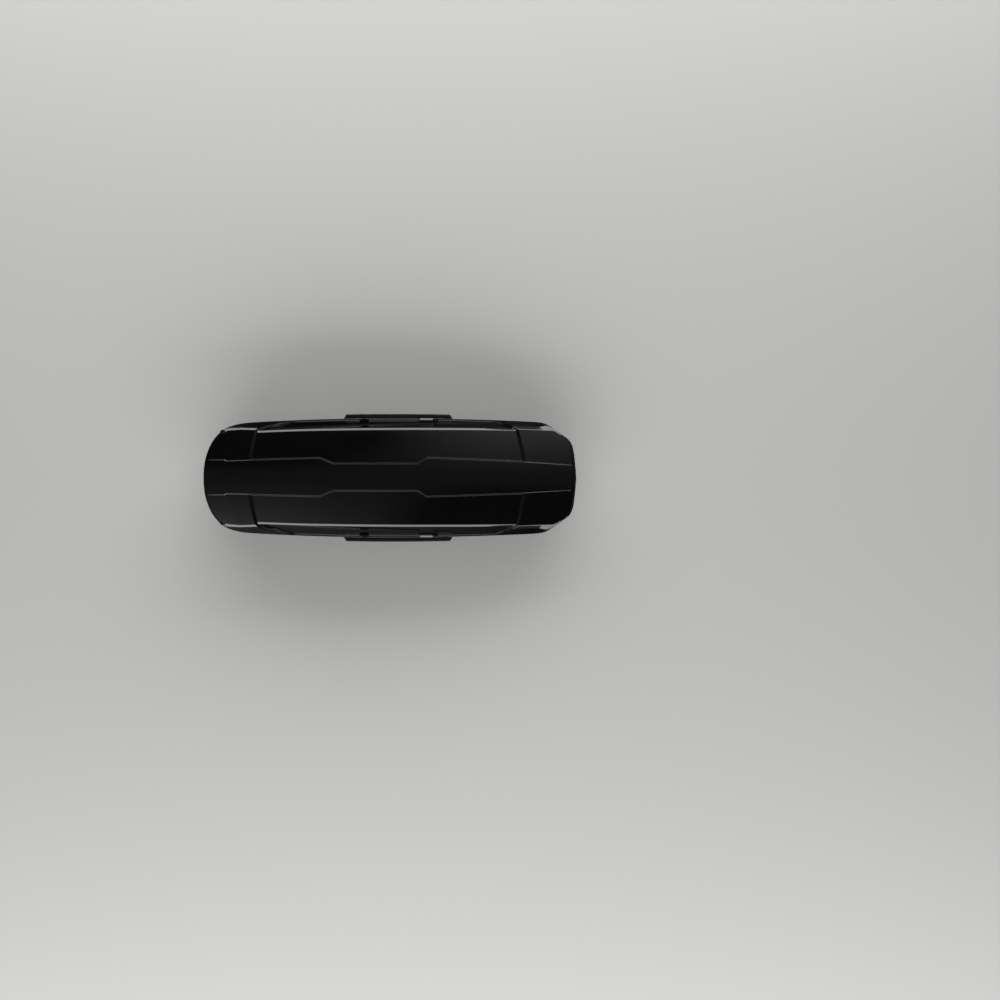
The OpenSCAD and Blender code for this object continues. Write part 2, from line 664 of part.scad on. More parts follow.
// Floor rails that the clamps slide on and the load straps hook to
rail_low_width = 40;
rail_low_height = 12;
rail_low_wall = 3;
rail_beyond = 110;
bar_centre = 0.0263 * half_length;
clamp_xs = [bar_centre - bar_spread / 2, bar_centre + bar_spread / 2];
clamp_places = [for (x = clamp_xs) for (side = [-1, 1]) [x, side * clamp_y]];
module base_rail() {
    rail_from = clamp_xs[0] - rail_beyond;
    rail_to = clamp_xs[1] + rail_beyond;
    color(steel) difference() {
        translate([rail_from, clamp_y - rail_low_width / 2, floor_z + seat_gap])
            cube([rail_to - rail_from, rail_low_width, rail_low_height]);
        translate([rail_from - 1, clamp_y - rail_low_width / 2 + rail_low_wall,
                   floor_z + seat_gap + rail_low_wall])
            cube([rail_to - rail_from + 2, rail_low_width - 2 * rail_low_wall, rail_low_height]);
        for (x = clamp_xs) translate([x, clamp_y, floor_z]) for (end = [-1, 1])
            translate([end > 0 ? jaw_in - 3 : -jaw_in - slot_run + 3, -jaw_width / 2 - 1.5, -1])
                cube([slot_run, jaw_width + 3, rail_low_wall + 3]);
    }
}

// Hinge posts: brackets on the floor that lean out to carry the pins
post_foot = 34;
post_wall = 5;
foot_y = clamp_y + rail_low_width / 2 + 5;
module hinge_posts() {
    color(dark_grey) for (x = hinge_stations) translate([x, 0, 0]) difference() {
        union() {
            translate([-16, foot_y, floor_z + seat_gap]) cube([32, post_foot, post_wall]);
            translate([-web_half, 0, 0]) rotate([90, 0, 90]) linear_extrude(2 * web_half) polygon([
                [foot_y, floor_z + seat_gap + 1], [foot_y + post_foot - 2, floor_z + seat_gap + 1],
                [axis_y - 7, axis_z - 34], [axis_y + 7, axis_z - 12], [axis_y + 7, axis_z],
                [axis_y - 7, axis_z], [axis_y - 7, axis_z - 12], [foot_y, floor_z + seat_gap + 16]]);
            translate([-web_half, axis_y, axis_z]) rotate([0, 90, 0])
                cylinder(r = 8, h = 2 * web_half);
        }
        translate([-web_half - 1, axis_y, axis_z]) rotate([0, 90, 0])
            cylinder(r = pin_radius + turn_gap, h = 2 * web_half + 2);
    }
}

module hinge_pins() {
    color(steel) for (side = [-1, 1]) for (x = hinge_stations)
        translate([x - pin_back, side * axis_y, axis_z]) rotate([0, 90, 0])
            cylinder(r = pin_radius, h = pin_back + pin_front);
}

module sleeve(length_x) {
    rotate([0, 90, 0]) difference() {
        cylinder(r = sleeve_radius, h = length_x);
        translate([0, 0, -1]) cylinder(r = pin_radius + turn_gap, h = length_x + 2);
    }
}
module hinge_sleeves(side) {
    color(nylon) for (x = hinge_stations) translate([x, side * axis_y, axis_z]) {
        translate([-pin_back + 0.2, 0, 0]) sleeve(pin_back - web_half - 0.5);
        translate([web_half + 0.3, 0, 0]) sleeve(pin_front - web_half - 0.5);
    }
}

// Rubber seats between the base and the crossbars
seat_y = 56;
seat_x = bar_width - 8;
module crossbar_seats() {
    color(rubber) for (at = clamp_places)
        translate([at[0] - seat_x / 2, at[1] - seat_y / 2, belly_height - seat_thickness])
            cube([seat_x, seat_y, seat_thickness]);
}

// ---------------------------------------------------------------- clamps

// A clamp stands over the floor rail; its two jaws reach through the floor and under the bar
jaw_in = bar_width / 2 + 2;          // inner face of a jaw, from the clamp's middle
jaw_pivot_x = jaw_in + jaw_thickness / 2;
jaw_pin_radius = 3;
housing_base = floor_z + seat_gap + rail_low_height + seat_gap;
jaw_pivot_z = housing_base + 12;
slot_run = jaw_thickness + 24;
housing_x = 2 * jaw_pivot_x + 26;
housing_y = rail_low_width;
housing_z = 32;
housing_wall = 4;
screw_radius = 5;

module clamp_housing() {
    color(dark_grey) difference() {
        translate([-housing_x / 2, -housing_y / 2, housing_base]) cube([housing_x, housing_y, housing_z]);
        translate([-housing_x / 2 + housing_wall, -housing_y / 2 + housing_wall, housing_base - 1])
            cube([housing_x - 2 * housing_wall, housing_y - 2 * housing_wall, housing_z - housing_wall + 1]);
        translate([0, 0, housing_base]) cylinder(r = screw_radius + 0.4, h = housing_z + 2);
        for (end = [-1, 1]) translate([end * jaw_pivot_x, -housing_y, jaw_pivot_z]) rotate([-90, 0, 0])
            cylinder(r = jaw_pin_radius + turn_gap, h = 2 * housing_y);
    }
}

module clamp_knob() {
    knob_z = housing_base + housing_z + 0.5;
    color(satin_black) {
        difference() {
            translate([0, 0, knob_z]) cylinder(r = knob_radius, h = knob_height);
            for (k = [0 : 7]) rotate([0, 0, k * 45]) translate([knob_radius + 2, 0, knob_z - 1])
                cylinder(r = 6, h = knob_height + 2);
            translate([0, 0, knob_z + knob_height - 3]) cylinder(r = knob_radius - 9, h = 4);
        }
        translate([-knob_radius + 10, -3, knob_z + knob_height - 4])
            cube([2 * knob_radius - 20, 6, 7]);
        translate([0, 0, housing_base + 6]) cylinder(r = screw_radius, h = housing_z);
    }
}

// The front jaw of a clamp, seen with the clamp's middle at x = 0: the rear one is its mirror
toe_reach = 22;
module clamp_jaw() {
    color(steel) rotate([90, 0, 0]) translate([0, 0, -jaw_width / 2]) difference() {
        linear_extrude(jaw_width) union() {
            polygon([
                [jaw_in, jaw_thickness - 1], [jaw_in - toe_reach, jaw_thickness - 2],
                [jaw_in - toe_reach, 1], [jaw_in - toe_reach + 3, 0],
                [jaw_in + jaw_thickness - 4, 0], [jaw_in + jaw_thickness, 5],
                [jaw_in + jaw_thickness, jaw_pivot_z], [jaw_in, jaw_pivot_z]]);
            translate([jaw_pivot_x, jaw_pivot_z]) circle(r = jaw_pin_radius + 4);
        }
    }
    color(steel) translate([jaw_pivot_x, -housing_y / 2 + 0.5, jaw_pivot_z]) rotate([-90, 0, 0])
        cylinder(r = jaw_pin_radius, h = housing_y - 1);
}

module at_clamp(end, side) {
    translate([clamp_xs[end > 0 ? 1 : 0], side * clamp_y, 0]) children();
}

// ---------------------------------------------------------------- lifters

// Each beam carries two arms: one lifts the lid when it opens on the right, one on the left
arm_wall = 5;
arm_depth = 14;
arm_offset = 8;
beam_top = axis_z - 14;
ear_wall = 4;
ear_gap = 0.5;
lifter_pin_radius = 3.5;

module lifter_beams() {
    color(dark_grey) for (end = [-1, 1]) translate([end * beam_x, 0, 0]) {
        translate([-22, -arm_pivot_y - 20, beam_top - 10]) cube([44, 2 * arm_pivot_y + 40, 10]);
        for (side = [-1, 1]) {
            translate([-beam_foot / 2, side * arm_pivot_y - 14, floor_z + seat_gap])
                cube([beam_foot, 28, beam_top - 9 - floor_z - seat_gap]);
            for (start = [arm_offset - ear_wall - ear_gap, arm_offset + arm_wall + ear_gap])
                translate([side > 0 ? start : -start - ear_wall, side * arm_pivot_y, 0]) difference() {
                    union() {
                        translate([0, -8, beam_top - 1]) cube([ear_wall, 16, axis_z - beam_top + 1]);
                        translate([0, 0, axis_z]) rotate([0, 90, 0]) cylinder(r = 8, h = ear_wall);
                    }
                    translate([-1, 0, axis_z]) rotate([0, 90, 0])
                        cylinder(r = lifter_pin_radius + turn_gap, h = ear_wall + 2);
                }
        }
    }
}

module lifter_pins() {
    pin_length = arm_wall + 2 * (ear_wall + ear_gap) + 14;
    color(steel) for (end = [-1, 1]) for (side = [-1, 1])
        translate([end * beam_x, side * arm_pivot_y, axis_z])
            translate([side > 0 ? arm_offset - ear_wall - 1 : -arm_offset + ear_wall + 1 - pin_length, 0, 0])
                rotate([0, 90, 0]) cylinder(r = lifter_pin_radius, h = pin_length);
}

spring_length = 9;
module lifter_springs() {
    start = arm_offset + arm_wall + ear_gap + ear_wall + 0.3;
    color(steel) for (end = [-1, 1]) for (side = [-1, 1])
        translate([end * beam_x + (side > 0 ? start : -start - spring_length), side * arm_pivot_y, axis_z])
            rotate([0, 90, 0]) difference() {
                cylinder(r = 7.5, h = spring_length);
                translate([0, 0, -1]) cylinder(r = lifter_pin_radius + 0.6, h = spring_length + 2);
            }
}

// The left arms pivot on the left and reach to the right; the right ones are turned end for end
module lifter_arms(side) {
    color(satin_black) for (end = [-1, 1]) translate([end * beam_x, 0, axis_z])
        translate([side > 0 ? arm_offset : -arm_offset - arm_wall, 0, 0]) rotate([90, 0, 90])
            difference() {
                linear_extrude(arm_wall) union() {
                    translate([side * arm_pivot_y, 0]) circle(d = arm_depth);
                    translate([side * (arm_pivot_y - arm_length), 0]) circle(d = arm_depth);
                    translate([side > 0 ? arm_pivot_y - arm_length : -arm_pivot_y, -arm_depth / 2])
                        square([arm_length, arm_depth]);
                }
                for (y = [arm_pivot_y, arm_pivot_y - arm_length]) translate([side * y, 0, -1])
                    cylinder(r = lifter_pin_radius + turn_gap, h = arm_wall + 2);
            }
}

roller_width = 9;
module lifter_rollers(side) {
    color(nylon) for (end = [-1, 1])
        translate([end * beam_x, side * (arm_pivot_y - arm_length), axis_z])
            mirror([side > 0 ? 0 : 1, 0, 0]) rotate([0, 90, 0]) {
                translate([0, 0, arm_offset + arm_wall + 0.3]) cylinder(r = roller_radius, h = roller_width);
                translate([0, 0, arm_offset - 1])
                    cylinder(r = lifter_pin_radius, h = arm_wall + 1.4);
            }
}

// ---------------------------------------------------------------- straps and rivets

strap_width = 25;
strap_wall = 2;
strap_xs = [-150, 210];
strap_half = clamp_y - rail_low_width / 2 - seat_gap;
buckle = [34, 42, 9];
module load_straps() {
    color(webbing) for (x = strap_xs) translate([x - strap_width / 2, 0, floor_z + seat_gap])
        for (side = [-1, 1]) translate([0, side > 0 ? buckle[1] / 2 + seat_gap : -strap_half, 0])
            cube([strap_width, strap_half - buckle[1] / 2 - seat_gap, strap_wall]);
}
module strap_buckles() {
    color(dark_grey) for (x = strap_xs) translate([x, 0, floor_z + seat_gap]) difference() {
        translate([-buckle[0] / 2, -buckle[1] / 2, 0]) cube(buckle);
        translate([-strap_width / 2 - 0.5, buckle[1] / 2 - 8, -1]) cube([strap_width + 1, 4, buckle[2] + 2]);
        translate([-strap_width / 2 - 0.5, -buckle[1] / 2 + 4, -1]) cube([strap_width + 1, 4, buckle[2] + 2]);
    }
}

// Rivets that hold the hinge posts' feet
rivet_radius = 4;
module rivets() {
    color(steel) for (side = [-1, 1]) for (x = hinge_stations) for (dx = [-10, 10])
        translate([x + dx, side * (foot_y + 10), floor_z + seat_gap + post_wall])
            cylinder(r1 = rivet_radius, r2 = rivet_radius - 1.2, h = 2);
}

// ---------------------------------------------------------------- the nodes

module right() { mirror([0, 1, 0]) children(); }
module behind() { mirror([1, 0, 0]) children(); }

lid_shell();
lid_rail();  // lid_rail_left
right() lid_rail();  // lid_rail_right
lid_crossbars();
rail_brackets();
claws();  // claws_left
right() claws();  // claws_right
grip();  // grip_left
right() grip();  // grip_right
lock_surround();  // lock_surround_left
right() lock_surround();  // lock_surround_right
key_cylinder();  // key_cylinder_left
right() key_cylinder();  // key_cylinder_right
slide_lever();  // slide_lever_left
right() slide_lever();  // slide_lever_right
lock_bar();  // lock_bar_left
right() lock_bar();  // lock_bar_right
base_shell();
flange_edging();
base_rail();  // base_rail_left
right() base_rail();  // base_rail_right
lifter_beams();
hinge_posts();  // hinge_posts_left
right() hinge_posts();  // hinge_posts_right
hinge_pins();
hinge_sleeves(1);  // hinge_sleeves_left
hinge_sleeves(-1);  // hinge_sleeves_right
lifter_arms(1);  // lifter_arms_left
lifter_arms(-1);  // lifter_arms_right
lifter_rollers(1);  // lifter_rollers_left
lifter_rollers(-1);  // lifter_rollers_right
lifter_pins();
lifter_springs();
crossbar_seats();
load_straps();
strap_buckles();
rivets();
at_clamp(1, 1) clamp_housing();  // clamp_housing_front_left
at_clamp(1, -1) clamp_housing();  // clamp_housing_front_right
at_clamp(-1, 1) clamp_housing();  // clamp_housing_rear_left
at_clamp(-1, -1) clamp_housing();  // clamp_housing_rear_right
at_clamp(1, 1) clamp_knob();  // clamp_knob_front_left
at_clamp(1, -1) clamp_knob();  // clamp_knob_front_right
at_clamp(-1, 1) clamp_knob();  // clamp_knob_rear_left
at_clamp(-1, -1) clamp_knob();  // clamp_knob_rear_right
at_clamp(1, 1) clamp_jaw();  // jaw_ahead_front_left
at_clamp(1, -1) clamp_jaw();  // jaw_ahead_front_right
at_clamp(-1, 1) clamp_jaw();  // jaw_ahead_rear_left
at_clamp(-1, -1) clamp_jaw();  // jaw_ahead_rear_right
at_clamp(1, 1) behind() clamp_jaw();  // jaw_behind_front_left
at_clamp(1, -1) behind() clamp_jaw();  // jaw_behind_front_right
at_clamp(-1, 1) behind() clamp_jaw();  // jaw_behind_rear_left
at_clamp(-1, -1) behind() clamp_jaw();  // jaw_behind_rear_right
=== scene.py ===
import bpy
import bmesh
import math
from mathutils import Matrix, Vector


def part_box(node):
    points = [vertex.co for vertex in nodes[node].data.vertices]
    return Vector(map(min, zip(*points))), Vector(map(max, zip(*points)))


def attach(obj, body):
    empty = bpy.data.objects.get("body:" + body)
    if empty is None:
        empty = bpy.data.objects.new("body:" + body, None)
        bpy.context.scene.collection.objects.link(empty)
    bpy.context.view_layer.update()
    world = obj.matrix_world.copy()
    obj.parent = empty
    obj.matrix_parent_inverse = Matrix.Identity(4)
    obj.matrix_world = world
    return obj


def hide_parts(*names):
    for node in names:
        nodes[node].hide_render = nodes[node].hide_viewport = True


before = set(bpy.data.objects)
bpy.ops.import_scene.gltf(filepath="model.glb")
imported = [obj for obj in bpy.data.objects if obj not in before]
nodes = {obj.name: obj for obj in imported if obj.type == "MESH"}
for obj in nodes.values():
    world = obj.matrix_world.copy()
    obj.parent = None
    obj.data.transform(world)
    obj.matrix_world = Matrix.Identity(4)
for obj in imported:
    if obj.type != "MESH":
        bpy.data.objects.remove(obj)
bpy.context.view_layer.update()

# ---- Room ----------------------------------------------------------------------------------
# The box stands on a plain pale floor. The camera hangs eight metres above its rim and looks
# straight down, and the box lies behind the middle of its view.

lid_low, lid_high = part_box("lid_shell")
skirt_drop = 0.008
rim_z = lid_low.z + skirt_drop
camera_rise = 8.0
camera_ahead = 0.561
camera_right = 0.113
camera_view = math.radians(35.4)
camera_reach = 50
camera_data = bpy.data.cameras.new("camera")
camera_data.angle = camera_view
camera_data.clip_end = camera_reach
camera = bpy.data.objects.new("camera", camera_data)
camera.location = (camera_ahead, -camera_right, rim_z + camera_rise)
bpy.context.scene.collection.objects.link(camera)
bpy.context.scene.camera = camera

floor_half = 30.0
floor_mesh = bpy.data.meshes.new("floor")
floor_mesh.from_pydata([(-floor_half, -floor_half, 0), (floor_half, -floor_half, 0),
                        (floor_half, floor_half, 0), (-floor_half, floor_half, 0)], [], [(0, 1, 2, 3)])
floor = bpy.data.objects.new("floor", floor_mesh)
bpy.context.scene.collection.objects.link(floor)
floor.visible_glossy = False


def put(tree, socket, value):
    """Gives a socket a value, or links it to an output."""
    if isinstance(value, bpy.types.NodeSocket):
        tree.links.new(value, socket)
    else:
        socket.default_value = value


def fill(tree, node, **inputs):
    """Puts values or links into a node's inputs, with their names' spaces as underscores."""
    for name, value in inputs.items():
        put(tree, node.inputs[name.replace("_", " ")], value)
    return node


def new_node(tree, kind, **inputs):
    """A node of a kind with its inputs filled."""
    return fill(tree, tree.nodes.new(kind), **inputs)


def new_material(name, **inputs):
    """A material with an empty node tree but for its Principled BSDF and output."""
    material = bpy.data.materials.new(name)
    material.use_nodes = True
    tree = material.node_tree
    tree.nodes.clear()
    shader = new_node(tree, "ShaderNodeBsdfPrincipled", **inputs)
    new_node(tree, "ShaderNodeOutputMaterial", Surface=shader.outputs["BSDF"])
    return material, tree, shader


pale_grey = (0.415, 0.415, 0.409, 1)
floor_material = new_material("floor", Base_Color=pale_grey, Roughness=0.7, Specular_IOR_Level=0.2)[0]
floor_mesh.materials.append(floor_material)

# The studio around it is dark overhead and below, with a pale band low on each side, and a faint
# glow from two opposite corners
world = bpy.data.worlds.new("studio")
world.use_nodes = True
bpy.context.scene.world = world
bpy.context.scene.view_settings.view_transform = "Standard"
sky = world.node_tree


def value_of(tree, operation, *values):
    """The result of a maths node on sockets or numbers."""
    node = tree.nodes.new("ShaderNodeMath")
    node.operation = operation
    for socket, value in zip(node.inputs, values):
        put(tree, socket, value)
    return node.outputs["Value"]


# The band's strength against height, which runs from 0 straight down to 1 straight up
band_levels = [(0.25, 0.0), (0.40, 0.22), (0.58, 0.32), (0.72, 0.15), (0.82, 0.0)]
side_power = 4
side_gain = 1.3
corner_gain = 3.0
corner_base = 0.11
overhead_least = 0.035
overhead_most = 0.75
above_gain = 6.0
above_least = 0.25
way = new_node(sky, "ShaderNodeTexCoord").outputs["Generated"]
way_x, way_y, way_z = new_node(sky, "ShaderNodeSeparateXYZ", Vector=way).outputs
band = sky.nodes.new("ShaderNodeValToRGB")
band.color_ramp.interpolation = "EASE"
stops = band.color_ramp.elements
for place, _ in band_levels[1:-1]:
    stops.new(place)
for stop, (place, level) in zip(stops, band_levels):
    stop.position = place
    stop.color = (level, level, level, 1)
fill(sky, band, Fac=value_of(sky, "MULTIPLY_ADD", way_z, 0.5, 0.5))
sideways = value_of(sky, "ABSOLUTE", way_y)
sides = value_of(sky, "MULTIPLY", value_of(sky, "POWER", sideways, side_power), side_gain)
low_band = value_of(sky, "MULTIPLY", band.outputs["Color"], value_of(sky, "MINIMUM", sides, 1.0))
corners = value_of(sky, "MULTIPLY", value_of(sky, "MULTIPLY", way_x, way_y), sideways)
corners = value_of(sky, "MULTIPLY_ADD", corners, corner_gain, corner_base)
overhead = value_of(sky, "MINIMUM", value_of(sky, "MAXIMUM", corners, overhead_least), overhead_most)
above = value_of(sky, "MAXIMUM", value_of(sky, "MULTIPLY", way_z, above_gain), above_least)
glow = value_of(sky, "MULTIPLY", overhead, value_of(sky, "MINIMUM", above, 1.0))
fill(sky, sky.nodes["Background"], Color=(1.0, 0.99, 0.97, 1),
     Strength=value_of(sky, "ADD", low_band, glow))


def softbox(name, place, aim, size, power):
    """A rectangular lamp at a place, turned towards a point."""
    lamp = bpy.data.lights.new(name, "AREA")
    lamp.shape = "RECTANGLE"
    lamp.size, lamp.size_y = size
    lamp.energy = power
    holder = bpy.data.objects.new(name, lamp)
    holder.location = place
    holder.rotation_euler = (Vector(aim) - Vector(place)).to_track_quat("-Z", "Y").to_euler()
    bpy.context.scene.collection.objects.link(holder)


softbox_out = 5.0
softbox_up = 2.75
softbox_size = (12.0, 2.9)
softbox_power = 540
aim = (0, 0, 0.3)
for name, side in (("left_softbox", 1), ("right_softbox", -1)):
    softbox(name, (0, side * softbox_out, softbox_up), aim, softbox_size, softbox_power)

# ---- Lid shell -----------------------------------------------------------------------------
# One sheet of gloss black plastic, drawn over a mould: a raised centre panel with a waist, end
# sections that stand proud of the middle, grooves that sweep down the flanks to the rim, and a
# lip round the rim. It is modelled as a cage of rows and columns that subdivision smooths.

half_length = (lid_high.x - lid_low.x) / 2
half_width = (lid_high.y - lid_low.y) / 2
crown_z = lid_high.z

side_bow = 0.039
nose_side_bow = 0.031
tail_length = 0.250
tail_power = 3
tail_fullness = 0.46
tail_corner_run = 0.093
corner_cut = 0.158
corner_slope = 0.72
corner_blend = 0.008
corner_ease = 0.001
nose_corner_run = 0.042
nose_bow = 0.016
nose_bow_y = 0.150
nose_bow_power = 1.3


def blend(a, b, share):
    """From a to b by a share."""
    return a + (b - a) * share


def lookup(x, table):
    """Reads a table of [x, value] between its points, and flat past its ends."""
    if x <= table[0][0]:
        return table[0][1]
    for (x0, v0), (x1, v1) in zip(table, table[1:]):
        if x <= x1:
            return blend(v0, v1, (x - x0) / (x1 - x0))
    return table[-1][1]


def smooth_min(a, b, rounding):
    """The lesser of two values, with the corner between them rounded."""
    low, high = min(a, b), max(a, b)
    return low - rounding * math.log1p(math.exp((low - high) / rounding))


def side_bowed(x):
    """Half width of the rim at x, before its corners are cut."""
    return half_width - (side_bow if x < 0 else nose_side_bow) * (x / half_length) ** 2


corner_x = half_length - corner_cut
corner_y = side_bowed(corner_x) - corner_ease


def side_y(x):
    """Half width of the rim at x."""
    bowed = smooth_min(side_bowed(x), corner_y - corner_slope * (x - corner_x), corner_blend)
    tail = max(0, (-x - (half_length - tail_length)) / tail_length)
    return bowed * max(0, 1 - tail ** tail_power) ** tail_fullness


def tail_x(y):
    """Where the tail's end stands at a distance from the centre line."""
    def reach(width):
        """Where the end stands, were the box this wide there."""
        return (-(half_length - tail_length) - tail_length
                * max(0, 1 - min(1, y / width) ** (1 / tail_fullness)) ** (1 / tail_power))
    first_guess = half_length * 0.95
    return reach(side_bowed(reach(side_bowed(first_guess))))


def nose_x(y):
    """Where the nose's end stands at a distance from the centre line."""
    return smooth_min(half_length - nose_bow * (y / nose_bow_y) ** nose_bow_power,
                      corner_x + (corner_y - y) / corner_slope, 2 * corner_blend)


tail_corner_y = side_y(-half_length + tail_corner_run)
nose_corner_y = side_y(half_length - nose_corner_run)


def tail_shape(t):
    """How far the tail's end has drawn forward, at a share of the way out to its corner."""
    return (tail_x(t * tail_corner_y) - tail_x(0)) / (tail_x(tail_corner_y) - tail_x(0))


def nose_shape(t):
    """How far the nose's end has drawn back, at a share of the way out to its corner."""
    return (nose_x(0) - nose_x(t * nose_corner_y)) / (nose_x(0) - nose_x(nose_corner_y))


# A row is known by where it crosses the centre line. The tables give for a row how far it bows
# back at the shoulder, sweeps on down the flank, stands in there and is drawn in at the ends.
groove_tail = -0.727 * half_length
groove_nose = 0.726 * half_length
groove_half = 0.009
groove_depth = 0.005
row_bow = [(-half_length, -tail_corner_run), (groove_tail, -0.035), (-0.53 * half_length, 0),
           (0.53 * half_length, 0), (groove_nose, 0.043), (half_length, nose_corner_run)]
row_sweep = [(-half_length, 0), (groove_tail - groove_half, 0.181), (groove_tail + groove_half, 0.189),
             (-0.26 * half_length, 0), (0.26 * half_length, 0), (groove_nose - groove_half, -0.138),
             (groove_nose + groove_half, -0.126), (half_length, 0)]
sweep_power = [(groove_tail, 1.7), (groove_nose, 1.3)]
flank_inset = 0.066
tail_inset = [(0, 0.015), (0.045, 0.025), (0.100, 0.036)]
nose_inset = [(0.150, flank_inset - 0.023), (0.130, 0.0406), (0.112, 0.0351), (0.092, 0.0245),
              (0.078, 0.0155), (0.064, 0.006), (0, 0.005)]
row_inset = [(-half_length + from_end, inset) for from_end, inset in tail_inset]
row_inset += [(groove_tail - groove_half, flank_inset - 0.018),
              (groove_tail + groove_half, flank_inset - 0.004),
              (-0.28 * half_length, flank_inset + 0.001), (0, flank_inset + 0.001),
              (0.28 * half_length, flank_inset - 0.002), (groove_nose - groove_half, flank_inset - 0.013),
              (groove_nose + groove_half, flank_inset - 0.021)]
row_inset += [(half_length - from_end, inset) for from_end, inset in nose_inset]
row_draft = [(-half_length, 0.030), (-half_length + 0.150, 0.006), (half_length - 0.100, 0.006),
             (half_length, 0.012)]
end_step = 0.002
panel_step = 0.0075
row_step = [(groove_tail - groove_half, end_step), (groove_tail + groove_half, panel_step),
            (groove_nose - groove_half, panel_step), (groove_nose + groove_half, end_step)]
panel_half = [(-half_length, 0.086), (-0.873 * half_length, 0.086), (-0.858 * half_length, 0.080),
              (-0.726 * half_length, 0.083), (-0.35 * half_length, 0.092),
              (-0.279 * half_length, 0.064), (0.161 * half_length, 0.064),
              (0.212 * half_length, 0.093), (0.706 * half_length, 0.077), (half_length, 0.061)]
step_run = [(groove_tail - groove_half, 0.003), (groove_tail + groove_half, 0.007),
            (groove_nose - groove_half, 0.007), (groove_nose + groove_half, 0.003)]
edge_round = 0.012
edge_rows = [0, 0.0013, 0.004, 0.008, edge_round, 0.022]
panel_kinks = (-0.873, -0.858, -0.35, -0.279, 0.161, 0.212)
kink_support = 0.004
groove_support = 0.0015
row_spacing = 0.052
panel_shares = (0, 0.4, 0.75)
outer_shares = (0.30, 0.56, 0.76, 0.91)
step_support = 0.0012
shoulder_support = 0.002

crown_peak = -0.126 * half_length
tail_height = 0.160
nose_height = 0.075
nose_fall_power = 2.3
tail_fall_power = 2.6
crown_fall = 0.053
crown_fall_less = 0.021
crown_power = 1.8
crown_groove_share = 0.6
crown_groove_power = 8
end_shape_run = 0.2
sheet_wall = 0.004

lip_foot = (0.12, 0.066)
ledge_slope = 0.8
ledge_in = [(groove_tail, 0.78), (groove_nose, 0.27)]
ledge_run = 0.055
ledge_rise = 0.018
# Levels are shares of the way in and of the height, and -1 is the skirt's lower edge
foot_levels = [(0, -1), (0, 0), (0.02, 0.06)]
end_levels = foot_levels + [(0.05, 0.10), (0.25, 0.33), (0.50, 0.57), (0.82, 0.965)]
wall_support = [0.0015, 0, 0.002, 0.002, 0.001, 0.001, 0.0015, 0]
band_run = [(groove_nose - groove_half, 0.009), (groove_nose + groove_half, 0.0135)]
band_slope = 0.65
band_most = 0.55
skirt_rise = 0.012
skirt_bottom = lid_low.z
skirt_top = rim_z + skirt_rise


def edge_roll(depth):
    """Fall of the crown's edge at nose and tail, a quarter round."""
    if depth >= edge_round:
        return 0
    return edge_round * (1 - math.sqrt(max(0, 1 - (1 - max(0, depth) / edge_round) ** 2)))


def spine_z(x):
    """Height of the crown on the centre line."""
    if x > crown_peak:
        share = ((x - crown_peak) / (half_length - crown_peak)) ** nose_fall_power
        return blend(crown_z, rim_z + nose_height, share)
    share = ((crown_peak - x) / (half_length + crown_peak)) ** tail_fall_power
    return blend(crown_z, rim_z + tail_height, share)


def row_marks():
    """The rows' places: the features with their supports, filled up to an even spacing."""
    marks = [-half_length + d for d in edge_rows]
    marks += [-half_length + from_end for from_end, _ in tail_inset[1:]]
    marks += [half_length - from_end for from_end, _ in nose_inset[:-1]]
    for groove in (groove_tail, groove_nose):
        marks += [groove + side * (groove_half + d) for side in (-1, 1) for d in (0, groove_support)]
        marks += [groove]
    for kink in panel_kinks:
        marks += [kink * half_length + side * kink_support for side in (-1, 0, 1)]
    marks = sorted(marks + [half_length - d for d in edge_rows])
    rows = []
    for a, b in zip(marks, marks[1:]):
        parts = math.ceil((b - a) / row_spacing)
        rows += [blend(a, b, k / parts) for k in range(parts)]
    return rows + [marks[-1]]


def shoulder_x(row):
    """Where a row meets the shoulder."""
    return row - lookup(row, row_bow)


def groove_cut(row):
    """How deep a groove is sunk at a row."""
    near = min(abs(row - groove_tail), abs(row - groove_nose)) / groove_half
    return groove_depth * max(0, 1 - near)


def shoulder_y(row):
    """How far out the shoulder stands on a row."""
    return side_y(shoulder_x(row)) - lookup(row, row_inset) - groove_cut(row)


def column_places(row):
    """Distances of the columns from the centre line, out to the shoulder."""
    panel, shoulder = lookup(row, panel_half), shoulder_y(row)
    outer = panel + lookup(row, step_run)
    step = [panel - step_support, panel, panel + step_support / 2,
            outer - step_support / 2, outer, outer + step_support]
    return ([panel * share for share in panel_shares] + step
            + [blend(outer, shoulder, share) for share in outer_shares]
            + [shoulder - shoulder_support, shoulder])


# Where in that list the step beside the centre panel starts and ends
step_start = 4
step_end = 7


def row_shape(row, t):
    """How far a row has bowed at a share of the way out to the shoulder."""
    tail = max(0, 1 - (row + half_length) / end_shape_run)
    nose = max(0, 1 - (half_length - row) / end_shape_run)
    if tail > 0:
        return blend(t * t, tail_shape(t), tail)
    return blend(t * t, nose_shape(t), nose)


def crown_point(row, column, inward):
    """A point of the crown, counted in columns from the centre line, left positive."""
    places = column_places(row)
    j = abs(column)
    y = places[j]
    x = shoulder_x(row) + lookup(row, row_bow) * (1 - row_shape(row, y / places[-1]))
    stepped = max(0, min(1, (y - places[step_start]) / (places[step_end] - places[step_start])))
    z = (spine_z(x) - (crown_fall - crown_fall_less * (x / half_length) ** 2)
         * (y / (half_width - flank_inset)) ** crown_power
         - lookup(row, row_step) * stepped
         - crown_groove_share * groove_cut(row) * (y / places[-1]) ** crown_groove_power
         - edge_roll(min(row + half_length, half_length - row)))
    y -= inward if j == len(places) - 1 else 0
    drawn_in = 1 - (lookup(row, row_draft) + inward) / half_length
    return Vector((x * drawn_in, math.copysign(y, column), z - inward))


